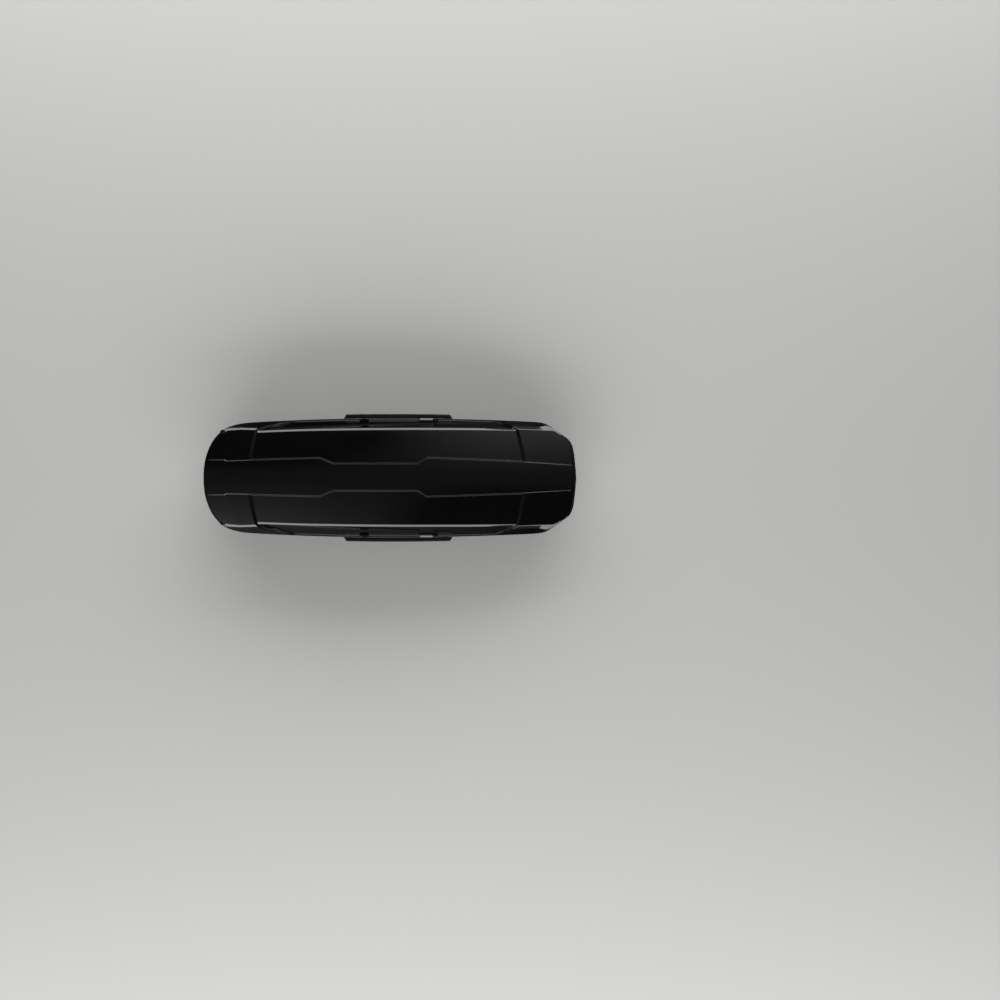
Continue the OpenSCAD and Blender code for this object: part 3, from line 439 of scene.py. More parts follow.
def flank_levels(row, rise):
    """Levels of the flank from the skirt's edge up: share of the way in, share of the height."""
    inset = lookup(row, row_inset)
    run = min(lookup(row, band_run), band_most * inset)
    band_foot = (1 - run / inset, 1 - band_slope * run / rise)
    ledge = lookup(row, ledge_in)
    level = lip_foot[1] + ledge_slope * (ledge - lip_foot[0])
    at_end = [(0.05, 0.10), (0.35 * band_foot[0], 0.33), (0.65 * band_foot[0], 0.60), band_foot]
    at_middle = [lip_foot, (ledge - ledge_run, level), (ledge, level + ledge_rise), band_foot]
    share = min(row - groove_tail, groove_nose - row) / (2 * groove_half) + 0.5
    share = max(0, min(1, share))
    return foot_levels + [(blend(e[0], m[0], share), blend(e[1], m[1], share))
                          for e, m in zip(at_end, at_middle)]


def wall_line(row, column, inward, is_side):
    """The flank's or the end's profile below a point of the crown's border, from the skirt up."""
    top = crown_point(row, column, inward)
    draft = lookup(row, row_draft)
    line = []
    levels = flank_levels(row, top.z - skirt_top) if is_side else end_levels
    for share_in, share_up in levels:
        z = skirt_bottom if share_up < 0 else blend(skirt_top, top.z, share_up)
        if is_side:
            x = shoulder_x(row) + lookup(row, row_sweep) * (1 - share_in) ** lookup(row, sweep_power)
            y = side_y(x) - share_in * (lookup(row, row_inset) + groove_cut(row)) - inward
            point = Vector((x * (1 - (inward + draft * share_in) / half_length),
                            math.copysign(y, column), z))
        else:
            full = top.x / (1 - (draft + inward) / half_length)
            stretch = blend(side_y(shoulder_x(row)) / shoulder_y(row), 1, share_in)
            x = full * (1 - (inward + draft * share_in) / half_length)
            point = Vector((x, top.y * stretch, z))
        line.append(point)
    return line + [top]


def supported(line, distances):
    """Adds a point on each side of a line's corners, so that subdivision keeps them crisp."""
    def towards(corner, other, distance):
        """A point a little way from a corner to its neighbour, and never half way."""
        return corner.lerp(other, min(0.45, distance / max(1e-6, (other - corner).length)))

    points = []
    for k, (corner, distance) in enumerate(zip(line, distances)):
        if distance and k > 0:
            points.append(towards(corner, line[k - 1], distance))
        points.append(corner)
        if distance and k < len(line) - 1:
            points.append(towards(corner, line[k + 1], distance))
    return points


def rim_border():
    """The rows, the last column, and the crown's border as pairs of row and column."""
    rows = row_marks()
    last = len(column_places(0)) - 1
    return rows, last, ([(i, last) for i in range(len(rows))]
                        + [(len(rows) - 1, j) for j in range(last - 1, -last, -1)]
                        + [(i, -last) for i in range(len(rows) - 1, -1, -1)]
                        + [(0, j) for j in range(-last + 1, last)])


def lid_cage(is_outer):
    """Points and faces of one skin of the lid: the crown's grid, then its walls from the foot up."""
    rows, last, border = rim_border()
    columns = range(-last, last + 1)
    inward = 0 if is_outer else sheet_wall
    walls = []
    for i, j in border:
        line = wall_line(rows[i], j, inward, abs(j) == last)
        if is_outer:
            edge = wall_line(rows[i], j, sheet_wall, abs(j) == last)[0]
            walls.append([edge] + supported(line, wall_support)[:-1])
        else:
            walls.append([line[0]] + line[3:7])
    height = len(walls[0])
    points = [crown_point(row, j, inward) for row in rows for j in columns]
    wall_start = len(points)
    points += [wall[k] for k in range(height) for wall in walls]

    def crown_index(i, j):
        return i * len(columns) + j + last

    def wall_index(k, u):
        u %= len(border)
        return wall_start + k * len(border) + u if k < height else crown_index(*border[u])

    faces = [[crown_index(i, j), crown_index(i, j + 1), crown_index(i + 1, j + 1), crown_index(i + 1, j)]
             for i in range(len(rows) - 1) for j in range(-last, last)]
    faces += [[wall_index(k, u), wall_index(k, u + 1), wall_index(k + 1, u + 1), wall_index(k + 1, u)]
              for k in range(height) for u in range(len(border))]
    return points, [face[::-1] for face in faces] if is_outer else faces


def finished(thing):
    """Turns a piece with modifiers into a plain mesh."""
    depsgraph = bpy.context.evaluated_depsgraph_get()
    mesh = bpy.data.meshes.new_from_object(thing.evaluated_get(depsgraph))
    thing.modifiers.clear()
    thing.data = mesh


def subdivided(piece, levels):
    """Smooths a piece by subdivision."""
    smoothing = piece.modifiers.new("smoothing", "SUBSURF")
    smoothing.levels = smoothing.render_levels = levels
    finished(piece)


def new_piece(name, points, faces, smooth=True):
    """A piece made of points and faces, linked to the scene."""
    mesh = bpy.data.meshes.new(name)
    mesh.from_pydata(points, [], faces)
    mesh.update()
    if smooth:
        mesh.shade_smooth()
    else:
        mesh.shade_flat()
    piece = bpy.data.objects.new(name, mesh)
    bpy.context.scene.collection.objects.link(piece)
    return piece


def group_socket(tree, name, kind, is_input=True, value=None):
    """Adds a named socket to a node group, and gives the name that a modifier knows it by."""
    side = "INPUT" if is_input else "OUTPUT"
    socket = tree.interface.new_socket(name, in_out=side, socket_type="NodeSocket" + kind)
    if value is not None:
        socket.default_value = value
    return socket.identifier


# Grain of moulded and coated surfaces: fine pits, and a slow change of tone and of roughness
surface_grain = bpy.data.node_groups.new("surface_grain", "ShaderNodeTree")
group_socket(surface_grain, "Color", "Color", value=(0.03, 0.03, 0.03, 1))
for name, value in (("Grains per metre", 900), ("Mottling", 0.2), ("Roughness", 0.5),
                    ("Roughness spread", 0.08)):
    group_socket(surface_grain, name, "Float", value=value)
group_socket(surface_grain, "Color", "Color", is_input=False)
group_socket(surface_grain, "Roughness", "Float", is_input=False)
group_socket(surface_grain, "Height", "Float", is_input=False)
grain_in = surface_grain.nodes.new("NodeGroupInput").outputs
place = new_node(surface_grain, "ShaderNodeTexCoord").outputs["Object"]
pits = new_node(surface_grain, "ShaderNodeTexNoise", Vector=place, Detail=3,
                Scale=grain_in["Grains per metre"])
slow = new_node(surface_grain, "ShaderNodeTexNoise", Vector=place, Scale=14, Detail=5).outputs["Fac"]
slow = value_of(surface_grain, "MULTIPLY_ADD", slow, 2.0, -1.0)
tone = value_of(surface_grain, "MULTIPLY_ADD", slow, grain_in["Mottling"], 1.0)
toned = new_node(surface_grain, "ShaderNodeVectorMath")
toned.operation = "SCALE"
fill(surface_grain, toned, Vector=grain_in["Color"], Scale=tone)
rough = value_of(surface_grain, "MULTIPLY_ADD", slow, grain_in["Roughness spread"], grain_in["Roughness"])
new_node(surface_grain, "NodeGroupOutput", Color=toned.outputs["Vector"], Roughness=rough,
         Height=pits.outputs["Fac"])


def grained_material(name, color, roughness, grains, depth, mottling=0.2, spread=0.08, **more):
    """A Principled material with the grain in its colour, roughness and bump."""
    material, tree, shader = new_material(name, **more)
    grain = new_node(tree, "ShaderNodeGroup")
    grain.node_tree = surface_grain
    fill(tree, grain, Color=(*color, 1), Grains_per_metre=grains, Mottling=mottling, Roughness=roughness,
         Roughness_spread=spread)
    bump = new_node(tree, "ShaderNodeBump", Distance=depth, Height=grain.outputs["Height"])
    fill(tree, shader, Base_Color=grain.outputs["Color"], Roughness=grain.outputs["Roughness"],
         Normal=bump.outputs["Normal"])
    return material


lid_gloss = grained_material("lid_gloss", (0.001, 0.001, 0.00102), 0.08, 130, 0.000004,
                             mottling=0.5, spread=0.03)
lid_inside = grained_material("lid_inside", (0.02, 0.02, 0.021), 0.5, 800, 0.0002, mottling=0.25)
for name, is_outer, levels, material in (("lid_skin", True, 2, lid_gloss),
                                         ("lid_lining", False, 1, lid_inside)):
    skin = new_piece(name, *lid_cage(is_outer))
    skin.data.materials.append(material)
    subdivided(skin, levels)
    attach(skin, "lid")
    if is_outer:
        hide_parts("lid_shell")

# ---- Base shell ----------------------------------------------------------------------------
# The lower tray, drawn from one black sheet with a fine haircell grain: a flat floor with long
# beads pressed into it, sloping walls and a flange all round. Slots let the clamps through.

floor_in = 0.104
wall_inset = 0.039
flange_inset = 0.014
belly_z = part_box("base_shell")[0].z
tray_wall = 0.004
tray_top = rim_z
floor_top = belly_z + tray_wall
middle_z = (tray_top + floor_top) / 2
wall_side = 1.12 * tray_wall
nose_floor, tail_floor = 0.262, 0.152
nose_middle, tail_middle = 0.118, 0.080
foot_in = 0.011
foot_rise = 0.008
clamp_xs = (-0.345, 0.395)
clamp_y = 0.125
slot_near, slot_far = 0.039, 0.070
slot_half = 0.017
slot_spare = 0.01
bead_depth = 0.0026
bead_half = 0.011
bead_end = 0.56
bead_fade = 0.03
bead_fullness = 1.6
bead_lines = (0, 0.044, 0.080, 0.172)


def wall_in(z):
    """How far in the tray's wall stands at a height."""
    return blend(wall_inset, floor_in - foot_in, (tray_top - z) / (tray_top - floor_top - foot_rise))


def drawn_in(point, side_in, nose_in, tail_in, z):
    """A point of the rim's outline moved in towards the middle of the box."""
    along = nose_in if point.x > 0 else tail_in
    return Vector((point.x * (1 - along / half_length), point.y * (1 - side_in / half_width), z))


def ring_faces(rings, width, start=0, is_loop=False):
    """Quads between rings of points that follow one another, and back to the first in a loop."""
    faces = []
    for k in range(rings if is_loop else rings - 1):
        near, far = start + k * width, start + (k + 1) % rings * width
        faces += [[near + c, near + (c + 1) % width, far + (c + 1) % width, far + c] for c in range(width)]
    return faces


def tray_cage():
    """The tray's two skins as one closed cage of quads."""
    rows, last, border = rim_border()
    # Distances in from the side, the nose and the tail, and the height, from the belly up and in
    profile = [
        (floor_in - wall_side, nose_floor - 0.004, tail_floor - 0.004, belly_z),
        (wall_in(floor_top + foot_rise) - wall_side, nose_floor - 0.030, tail_floor - 0.018,
         belly_z + 0.006),
        (wall_in(middle_z) - wall_side, nose_middle, tail_middle, middle_z - 0.002),
        (wall_in(tray_top - tray_wall) - wall_side, wall_inset - 0.001, wall_inset - 0.002,
         tray_top - tray_wall),
        (flange_inset, flange_inset, flange_inset, tray_top - tray_wall),
        (flange_inset, flange_inset, flange_inset, tray_top),
        (wall_inset, wall_inset + 0.004, wall_inset + 0.003, tray_top),
        (wall_in(middle_z), nose_middle + 0.006, tail_middle + 0.004, middle_z),
        (wall_in(floor_top + foot_rise), nose_floor - 0.026, tail_floor - 0.013, floor_top + foot_rise),
        (floor_in, nose_floor, tail_floor, floor_top)]
    softness = [0.010, 0.010, 0, 0.003, 0.0006, 0.0006, 0.003, 0, 0.010, 0.010]
    lines = []
    for i, j in border:
        foot = wall_line(rows[i], j, 0, abs(j) == last)[0]
        lines.append(supported([drawn_in(foot, *level) for level in profile], softness))
    count, height = len(border), len(lines[0])
    points = [line[k] for k in range(height) for line in lines]
    faces = ring_faces(height, count)
    place = {pair: u for u, pair in enumerate(border)}
    shares = column_places(0)
    across = {j: 0.5 + math.copysign(shares[abs(j)] / shares[-1], j) / 2 for j in range(-last, last + 1)}
    for level, is_top in ((0, False), (height - 1, True)):
        def edge(i, j):
            """A point of this level's border."""
            return points[level * count + place[(i, j)]]

        end = len(rows) - 1
        index = {}
        for i in range(len(rows)):
            for j in range(-last, last + 1):
                if (i, j) in place:
                    index[i, j] = level * count + place[(i, j)]
                    continue
                v, u = i / end, across[j]
                left, right = edge(i, last), edge(i, -last)
                tail, nose = edge(0, j), edge(end, j)
                tail_line = edge(0, -last).lerp(edge(0, last), u)
                nose_line = edge(end, -last).lerp(edge(end, last), u)
                index[i, j] = len(points)
                points.append(right.lerp(left, u) + tail.lerp(nose, v) - tail_line.lerp(nose_line, v))
        for i in range(end):
            for j in range(-last, last):
                face = [index[i, j], index[i, j + 1], index[i + 1, j + 1], index[i + 1, j]]
                faces.append(face[::-1] if is_top else face)
    return points, [face[::-1] for face in faces]


def bead_drop(x, y):
    """How far the floor is pressed down by its beads."""
    ends = max(0, min(1, (bead_end - abs(x)) / bead_fade))
    drop = 0
    for line in bead_lines:
        off = abs(abs(y) - line) / bead_half
        if off < 1:
            drop = max(drop, 0.5 + 0.5 * math.cos(math.pi * off))
    return bead_depth * ends * min(1, bead_fullness * drop)


tray_sheet = grained_material("haircell_sheet", (0.012, 0.012, 0.0125), 0.46, 1100, 0.00025,
                              mottling=0.25)
tray = new_piece("tray", *tray_cage())
tray.data.materials.append(tray_sheet)
subdivided(tray, 1)
for vertex in tray.data.vertices:
    if vertex.co.z < floor_top + 0.0005:
        vertex.co.z -= bead_drop(vertex.co.x, vertex.co.y)


def box_points(low, high):
    """The corners and faces of an upright box."""
    points = [(x, y, z) for x in (low[0], high[0]) for y in (low[1], high[1]) for z in (low[2], high[2])]
    return points, [(0, 1, 3, 2), (4, 6, 7, 5), (0, 4, 5, 1), (2, 3, 7, 6), (0, 2, 6, 4), (1, 5, 7, 3)]


cutter_points, cutter_faces = [], []
for clamp_x in clamp_xs:
    for side in (-1, 1):
        for end in (-1, 1):
            near, far = sorted((clamp_x + end * slot_near, clamp_x + end * slot_far))
            points, faces = box_points((near, side * clamp_y - slot_half, belly_z - slot_spare),
                                       (far, side * clamp_y + slot_half, floor_top + slot_spare))
            cutter_faces += [[len(cutter_points) + k for k in face] for face in faces]
            cutter_points += points
cutter = new_piece("slot_cutter", cutter_points, cutter_faces, smooth=False)
slots = tray.modifiers.new("slots", "BOOLEAN")
slots.object = cutter
slots.operation = "DIFFERENCE"
finished(tray)
bpy.data.objects.remove(cutter)
tray.data.shade_smooth()
tray.data.set_sharp_from_angle(angle=math.radians(40))
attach(tray, "base")
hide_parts("base_shell")

# ---- Flange edging -------------------------------------------------------------------------
# A rubber channel pushed on to the edge of the tray's flange all round, inside the lid's skirt.
# Its outer corners are eased.

edging_wall = 0.002
edging_grip = 0.008
edging_gap = 0.0003
edging_corner = 0.0015
rubber_skin = grained_material("rubber", (0.010, 0.010, 0.010), 0.72, 700, 0.0002, mottling=0.3)
edge_near = flange_inset - edging_wall
edge_far = flange_inset + edging_grip
edge_slot = flange_inset - edging_gap
edge_low = tray_top - tray_wall - edging_gap
edge_high = tray_top + edging_gap
edging_profile = [(edge_far, edge_low - edging_wall), (edge_near + edging_corner, edge_low - edging_wall),
                  (edge_near, edge_low - edging_wall + edging_corner),
                  (edge_near, edge_high + edging_wall - edging_corner),
                  (edge_near + edging_corner, edge_high + edging_wall),
                  (edge_far, edge_high + edging_wall), (edge_far, edge_high), (edge_slot, edge_high),
                  (edge_slot, edge_low), (edge_far, edge_low)]
rows, last, border = rim_border()
feet = [wall_line(rows[i], j, 0, abs(j) == last)[0] for i, j in border]
edging_points = [drawn_in(foot, inset, inset, inset, z) for inset, z in edging_profile for foot in feet]


def turned_over(faces):
    """The same faces seen from their other side, each from the same first corner."""
    return [face[:1] + face[:0:-1] for face in faces]


edging_faces = turned_over(ring_faces(len(edging_profile), len(feet), is_loop=True))
edging = new_piece("flange_channel", edging_points, edging_faces)
edging.data.materials.append(rubber_skin)
edging.data.set_sharp_from_angle(angle=math.radians(50))
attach(edging, "base")
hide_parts("flange_edging")

# ---- Rubber seats --------------------------------------------------------------------------
# Four flat rubber pads under the floor, glued on, that the roof bars bear against.


weld_gap = 0.00001
flat_turn = 0.6
crease_turn = 35


def rounded(piece, width, segments, corner):
    """Rounds the edges that turn by more than an angle, and smooths a piece's curves."""
    bevel = piece.modifiers.new("rounding", "BEVEL")
    bevel.width = width
    bevel.segments = segments
    bevel.limit_method = "ANGLE"
    bevel.angle_limit = math.radians(corner)
    finished(piece)
    piece.data.shade_smooth()
    piece.data.set_sharp_from_angle(angle=math.radians(crease_turn))


def refined(node, body, material, rounding, segments=2):
    """A finer stand-in for a solid: its facets joined, its edges rounded and its curves smooth."""
    mesh = nodes[node].data.copy()
    mesh.name = node
    work = bmesh.new()
    work.from_mesh(mesh)
    bmesh.ops.remove_doubles(work, verts=work.verts, dist=weld_gap)
    bmesh.ops.dissolve_limit(work, angle_limit=math.radians(flat_turn), verts=work.verts, edges=work.edges)
    work.to_mesh(mesh)
    work.free()
    for name in ("custom_normal", "sharp_edge", "sharp_face"):
        if name in mesh.attributes:
            mesh.attributes.remove(mesh.attributes[name])
    mesh.materials.clear()
    mesh.materials.append(material)
    piece = bpy.data.objects.new(node + "_piece", mesh)
    bpy.context.scene.collection.objects.link(piece)
    rounded(piece, rounding, segments, crease_turn)
    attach(piece, body)
    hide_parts(node)


refined("crossbar_seats", "base", rubber_skin, 0.0012)

# ---- Floor rails ---------------------------------------------------------------------------
# Two zinc-plated steel channels along the floor, open at the top. The clamps' housings stand on
# them, and slots in them let the jaws through.


def mixed(tree, one, other, share):
    """A colour between two, by a share that changes over the surface."""
    mix = new_node(tree, "ShaderNodeMix")
    mix.data_type = "RGBA"
    return fill(tree, mix, A=(*one, 1), B=(*other, 1), Factor=share).outputs["Result"]


zinc_plate, tree, shader = new_material("zinc_plate", Metallic=0.85)
place = new_node(tree, "ShaderNodeTexCoord").outputs["Object"]
spangle = new_node(tree, "ShaderNodeTexVoronoi", Vector=place, Scale=90)
clouds = new_node(tree, "ShaderNodeTexNoise", Vector=place, Scale=25, Detail=6)
rough = new_node(tree, "ShaderNodeMapRange", Value=clouds.outputs["Fac"], To_Min=0.28, To_Max=0.52)
fill(tree, shader, Roughness=rough.outputs["Result"],
     Base_Color=mixed(tree, (0.38, 0.39, 0.41), (0.58, 0.59, 0.60), spangle.outputs["Color"]))
refined("base_rail_left", "base", zinc_plate, 0.0008)
refined("base_rail_right", "base", zinc_plate, 0.0008)

# ---- Lifter beams --------------------------------------------------------------------------
# Two steel beams across the floor, powder-coated black, that stand on feet. Ears on them hold
# the pins of the lifter arms.

powder_coat = grained_material(
    "black_powder_coat", (0.014, 0.014, 0.015), 0.42, 1500, 0.00012, mottling=0.15)
refined("lifter_beams", "base", powder_coat, 0.0015)

# ---- Hinge posts, pins and sleeves ---------------------------------------------------------
# Six brackets riveted to the floor carry steel pins at the rim, and nylon sleeves turn on them.
# The lid's claws drop over the sleeves from above.

pin_steel = grained_material(
    "ground_steel", (0.55, 0.55, 0.56), 0.24, 2500, 0.00003, mottling=0.08, Metallic=1.0)
nylon = grained_material(
    "natural_nylon", (0.62, 0.60, 0.54), 0.42, 1200, 0.00006, mottling=0.05,
    Subsurface_Weight=0.15, Subsurface_Radius=(0.004, 0.004, 0.003))
for side in ("left", "right"):
    refined("hinge_posts_" + side, "base", powder_coat, 0.0010)
refined("hinge_pins", "base", pin_steel, 0.0006)
refined("hinge_sleeves_left", "base", nylon, 0.0003)
refined("hinge_sleeves_right", "right_sleeves", nylon, 0.0003)

# ---- Rivets --------------------------------------------------------------------------------
# Blind rivets with domed aluminium heads, two in each hinge post's foot. Each head has a flat
# collar and the small hole that its snapped mandrel leaves.

rivet_metal = grained_material(
    "rivet_aluminium", (0.55, 0.55, 0.55), 0.34, 2000, 0.00004, mottling=0.1, Metallic=1.0)


def turned_shape(name, profile, steps=24):
    """A shape turned round the Z axis from a profile of (radius, height), bottom to top."""
    points = [(radius * math.cos(2 * math.pi * k / steps), radius * math.sin(2 * math.pi * k / steps),
               height) for radius, height in profile for k in range(steps)]
    faces = ring_faces(len(profile), steps)
    faces += [range(steps - 1, -1, -1), range((len(profile) - 1) * steps, len(profile) * steps)]
    return new_piece(name, points, faces)


def begin_tree(name):
    """A Geometry Nodes tree with its input, and a node that sets a shape at each of its points."""
    tree = bpy.data.node_groups.new(name, "GeometryNodeTree")
    group_socket(tree, "Geometry", "Geometry")
    group_socket(tree, "Geometry", "Geometry", is_input=False)
    group_in = new_node(tree, "NodeGroupInput")
    spots = new_node(tree, "GeometryNodeInstanceOnPoints", Points=group_in.outputs["Geometry"])
    return tree, group_in, spots


def end_tree(tree, spots, material):
    """Ends a tree: the shapes at its points made real, with their material."""
    real = new_node(tree, "GeometryNodeRealizeInstances", Geometry=spots.outputs["Instances"])
    finish = new_node(tree, "GeometryNodeSetMaterial", Geometry=real.outputs["Geometry"], Material=material)
    new_node(tree, "NodeGroupOutput", Geometry=finish.outputs["Geometry"])


def laid_out(name, places, tree, sizes):
    """A plain mesh of what a tree sets at the places, with the tree's sizes by socket."""
    piece = new_piece(name, places, [])
    layout = piece.modifiers.new("layout", "NODES")
    layout.node_group = tree
    for identifier, value in sizes.items():
        layout[identifier] = value
    finished(piece)
    return piece


rivet_low, rivet_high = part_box("rivets")
rivet_inset = 0.004
rivet_apart = 0.010
post_xs = (-0.5, 0, 0.5)
full_turn = 6.28
turn_seed = 7
head = turned_shape("rivet_seed", [(0.0040, 0), (0.0040, 0.0003), (0.0036, 0.0009), (0.0028, 0.0015),
                                   (0.0018, 0.0019), (0.0011, 0.0020), (0.0011, 0.0012)])
rivet_tree, group_in, spots = begin_tree("rivet_heads")
head_shape = group_socket(rivet_tree, "Shape", "Object")
head_scale = group_socket(rivet_tree, "Scale", "Float")
head_turn = group_socket(rivet_tree, "Turn", "Float")
shape = new_node(rivet_tree, "GeometryNodeObjectInfo", Object=group_in.outputs["Shape"])
turn = new_node(rivet_tree, "FunctionNodeRandomValue")
turn.data_type = "FLOAT"
# The random value has a Max for each data type, so the one for plain numbers goes by its place
put(rivet_tree, turn.inputs[3], group_in.outputs["Turn"])
fill(rivet_tree, turn, Seed=turn_seed)
axes = new_node(rivet_tree, "ShaderNodeCombineXYZ", Z=turn.outputs[1])
fill(rivet_tree, spots, Instance=shape.outputs["Geometry"], Rotation=axes.outputs["Vector"],
     Scale=group_in.outputs["Scale"])
end_tree(rivet_tree, spots, rivet_metal)
rivet_places = [(x + dx, side * (rivet_high.y - rivet_inset), rivet_low.z)
                for side in (-1, 1) for x in post_xs for dx in (-rivet_apart, rivet_apart)]
rivets = laid_out("rivet_heads", rivet_places, rivet_tree,
                  {head_shape: head, head_scale: 1.0, head_turn: full_turn})
bpy.data.objects.remove(head)
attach(rivets, "base")
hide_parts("rivets")

# ---- Lifters -------------------------------------------------------------------------------
# Two moulded arms a side push the lid up on nylon rollers. Each turns on a steel pin, and a
# coil spring of round wire on the pin drives it.

glass_nylon = grained_material(
    "glass_filled_nylon", (0.020, 0.020, 0.021), 0.5, 1400, 0.00018, mottling=0.25)
for side in ("left", "right"):
    refined("lifter_arms_" + side, side + "_lifters", glass_nylon, 0.0010)
    refined("lifter_rollers_" + side, side + "_rollers", nylon, 0.0008)
refined("lifter_pins", "base", pin_steel, 0.0006)

beam_x = 0.627
pivot_y = 0.100
pivot_z = 0.150
spring_start = {1: 0.0188, -1: -0.0268}
spring_tree, group_in, spots = begin_tree("coil_spring")
coil_radius, coil_length, coil_turns, wire_radius = [
    group_socket(spring_tree, name, "Float") for name in ("Coil radius", "Length", "Turns", "Wire radius")]
sizes = group_in.outputs
helix = new_node(spring_tree, "GeometryNodeCurveSpiral", Resolution=20, Start_Radius=sizes["Coil radius"],
                 End_Radius=sizes["Coil radius"], Height=sizes["Length"], Rotations=sizes["Turns"])
wire = new_node(spring_tree, "GeometryNodeCurvePrimitiveCircle", Resolution=10, Radius=sizes["Wire radius"])
swept = new_node(spring_tree, "GeometryNodeCurveToMesh", Curve=helix.outputs["Curve"],
                 Profile_Curve=wire.outputs["Curve"], Fill_Caps=True)
laid = new_node(spring_tree, "GeometryNodeTransform", Geometry=swept.outputs["Mesh"],
                Rotation=(0, math.radians(90), 0))
fill(spring_tree, spots, Instance=laid.outputs["Geometry"])
end_tree(spring_tree, spots, pin_steel)
spring_places = [(end * beam_x + spring_start[side], side * pivot_y, pivot_z)
                 for end in (-1, 1) for side in (-1, 1)]
springs = laid_out("coil_springs", spring_places, spring_tree,
                   {coil_radius: 0.0063, coil_length: 0.0066, coil_turns: 4.0, wire_radius: 0.0008})
springs.data.shade_smooth()
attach(springs, "base")
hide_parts("lifter_springs")

# ---- Load straps and buckles ---------------------------------------------------------------
# Flat polyester webbing from the floor rail on each side to a ladder buckle in the middle. The
# weave runs in fine ribs along the strap, with a thicker woven edge.

strap_xs = (-0.150, 0.210)
strap_half = 0.0125
strap_wall = 0.002
strap_edge = 0.0008
strap_lift = 0.0004
strap_waves = 5
strap_steps = 24
strap_gap = 0.0003
strap_bed = 0.0005
buckle_gap = 0.0004
rail_half = 0.020
strap_end = clamp_y - rail_half - strap_gap
buckle_half = 0.021
webbing, tree, shader = new_material("polyester_webbing", Roughness=0.75, Sheen_Weight=0.3)
place = new_node(tree, "ShaderNodeTexCoord").outputs["Object"]
ribs = new_node(tree, "ShaderNodeTexWave", Vector=place, Scale=190)
ribs.bands_direction = "X"
picks = new_node(tree, "ShaderNodeTexWave", Vector=place, Scale=260)
picks.bands_direction = "Y"
weave = value_of(tree, "MULTIPLY", ribs.outputs["Fac"], picks.outputs["Fac"])
bump = new_node(tree, "ShaderNodeBump", Distance=0.0004, Height=weave)
fill(tree, shader, Base_Color=mixed(tree, (0.006, 0.006, 0.007), (0.045, 0.045, 0.050), weave),
     Normal=bump.outputs["Normal"])

strap_points, strap_faces = [], []
strap_rim = [(-1, 0.15), (-0.94, 0), (-0.80, 0.06), (0.80, 0.06), (0.94, 0), (1, 0.15),
             (1, 0.85), (0.94, 1), (0.80, 0.88), (-0.80, 0.88), (-0.94, 1), (-1, 0.85)]
width = len(strap_rim)
for strap_x in strap_xs:
    for side in (-1, 1):
        start = len(strap_points)
        for k in range(strap_steps + 1):
            y = blend(buckle_half + buckle_gap, strap_end, k / strap_steps)
            lift = strap_lift * math.sin(strap_waves * k / strap_steps * math.pi) ** 2
            low = floor_top + strap_bed
            ring = [(strap_x + across * strap_half, side * y, low + (strap_wall - strap_edge) * up + lift)
                    for across, up in strap_rim]
            strap_points += ring if side > 0 else ring[::-1]
        strap_faces += ring_faces(strap_steps + 1, width, start)
        strap_faces.append([start + c for c in range(width - 1, -1, -1)])
        strap_faces.append([start + strap_steps * width + c for c in range(width)])
straps = new_piece("webbing_straps", strap_points, strap_faces)
work = bmesh.new()
work.from_mesh(straps.data)
bmesh.ops.recalc_face_normals(work, faces=work.faces)
work.to_mesh(straps.data)
work.free()
straps.data.materials.append(webbing)
straps.data.set_sharp_from_angle(angle=math.radians(60))
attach(straps, "base")
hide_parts("load_straps")
refined("strap_buckles", "base", glass_nylon, 0.0012, segments=3)

# ---- Roof bar clamps -----------------------------------------------------------------------
# Four clamps: a moulded housing over the floor rail, a lobed knob on its screw, and two steel
# jaws that swing on cross pins and close under the bar.

clamp_plastic = grained_material(
    "clamp_housing_plastic", (0.030, 0.030, 0.032), 0.5, 1300, 0.0002, mottling=0.2)
knob_plastic = grained_material(
    "knob_plastic", (0.016, 0.016, 0.016), 0.38, 1500, 0.00012, mottling=0.2)
for where in ("front_left", "front_right", "rear_left", "rear_right"):
    refined("clamp_housing_" + where, "base", clamp_plastic, 0.0018, segments=3)
    refined("clamp_knob_" + where, where + "_knob", knob_plastic, 0.0014, segments=3)
    for end in ("ahead", "behind"):
        refined("jaw_" + end + "_" + where, where + "_jaw_" + end, zinc_plate, 0.0010)

# ---- Lid frame -----------------------------------------------------------------------------
# A ladder frame stiffens the lid: two zinc-plated side rails, two flat tubes across that the
# rollers run under, and folded brackets bonded to the flanks.

for node in ("lid_rail_left", "lid_rail_right", "lid_crossbars", "rail_brackets"):
    refined(node, "lid", zinc_plate, 0.0009)

# ---- Claws ---------------------------------------------------------------------------------
# Claws of dark nylon, moulded, under the lid's side rails. They drop over the hinge sleeves
# when the lid comes down.

for side in ("left", "right"):
    refined("claws_" + side, "lid", glass_nylon, 0.0007)

# ---- Grips ---------------------------------------------------------------------------------
# A moulded handle under the lid's rim on each side: a flat top and an outer lip with a gap
# behind it for the fingers. Its ends are cut at a slant.

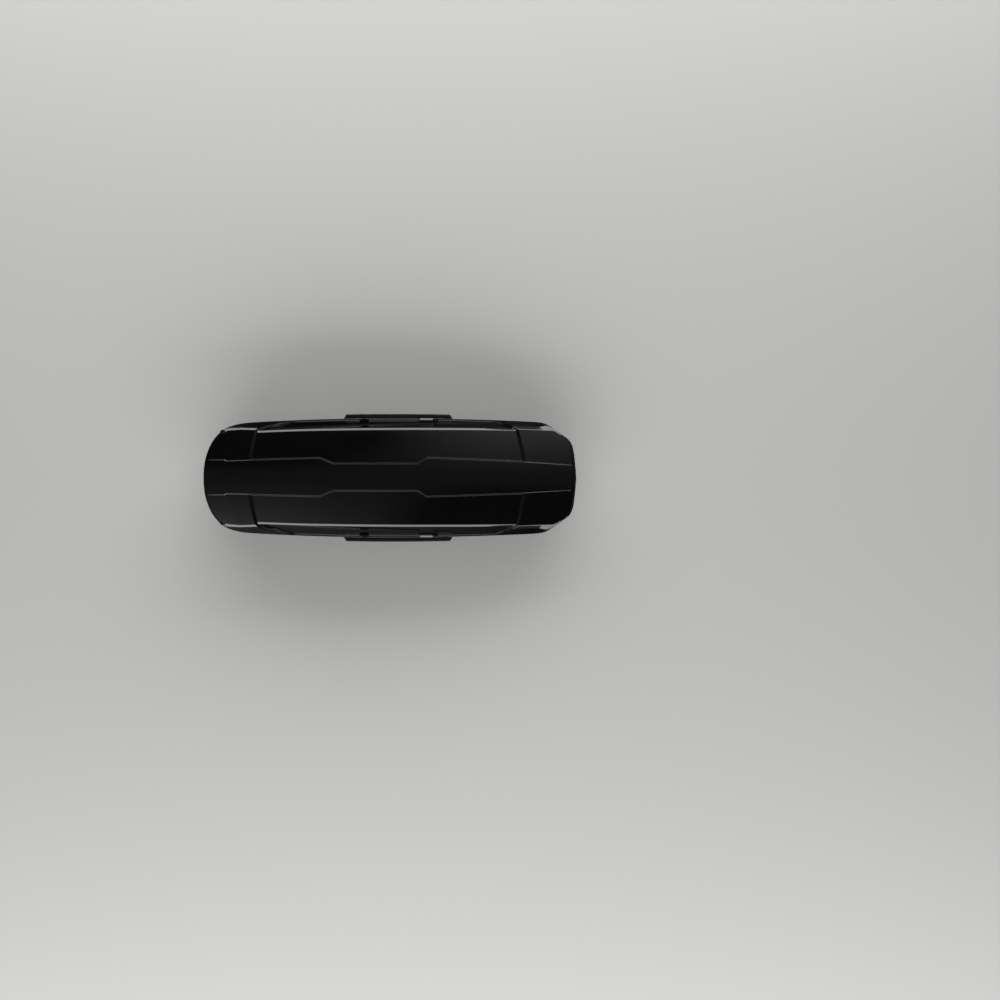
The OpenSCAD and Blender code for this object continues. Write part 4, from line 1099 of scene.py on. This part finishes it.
grip_x = 0.042
grip_length = 0.554
grip_reach = 0.022
grip_wall = 0.0035
grip_slant = 0.012
grip_steps = 96
grip_top = skirt_top - 0.002
grip_bottom = skirt_bottom - 0.002
grip_drop = grip_bottom - grip_top
grip_profile = [(0.0003, -grip_wall), (0.0003, 0), (grip_reach - 0.003, 0), (grip_reach, -0.004),
                (grip_reach, grip_drop + 0.002), (grip_reach - 0.002, grip_drop),
                (grip_reach - grip_wall, grip_drop), (grip_reach - grip_wall, -grip_wall)]
grip_plastic = grained_material(
    "grip_plastic", (0.004, 0.004, 0.0042), 0.26, 1400, 0.00015, mottling=0.15)
width = len(grip_profile)
for side, node in ((1, "grip_left"), (-1, "grip_right")):
    grip_points = []
    for k in range(grip_steps + 1):
        for out, up in grip_profile:
            pull = grip_slant * out / grip_reach
            x = blend(grip_x - grip_length / 2 + pull, grip_x + grip_length / 2 - pull, k / grip_steps)
            grip_points.append((x, side * (side_y(x) + out), grip_top + up))
    grip_faces = turned_over(ring_faces(grip_steps + 1, width))
    grip_faces += [list(range(width)), [grip_steps * width + c for c in range(width - 1, -1, -1)]]
    if side < 0:
        grip_faces = [face[::-1] for face in grip_faces]
    grip = new_piece("handle" + node[4:], grip_points, grip_faces)
    grip.data.materials.append(grip_plastic)
    rounded(grip, 0.0009, 3, 25)
    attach(grip, "lid")
    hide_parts(node)

# ---- Locks ---------------------------------------------------------------------------------
# On each flank an oval surround holds the key cylinder, and a slide lever in silver-grey
# plastic drives the lock bar inside, whose toes slip under the hinge sleeves.

lock_plastic = grained_material(
    "lock_plastic", (0.004, 0.004, 0.0042), 0.28, 1600, 0.0001, mottling=0.15,
    Specular_IOR_Level=0.03)
silver_plastic = grained_material(
    "silver_plastic", (0.185, 0.19, 0.195), 0.42, 1800, 0.00006, mottling=0.06)
for side in ("left", "right"):
    refined("lock_surround_" + side, "lid", lock_plastic, 0.0010, segments=3)
    refined("key_cylinder_" + side, side + "_key", lock_plastic, 0.0006)
    refined("slide_lever_" + side, side + "_lock", silver_plastic, 0.0012, segments=3)
    refined("lock_bar_" + side, side + "_lock", zinc_plate, 0.0008)
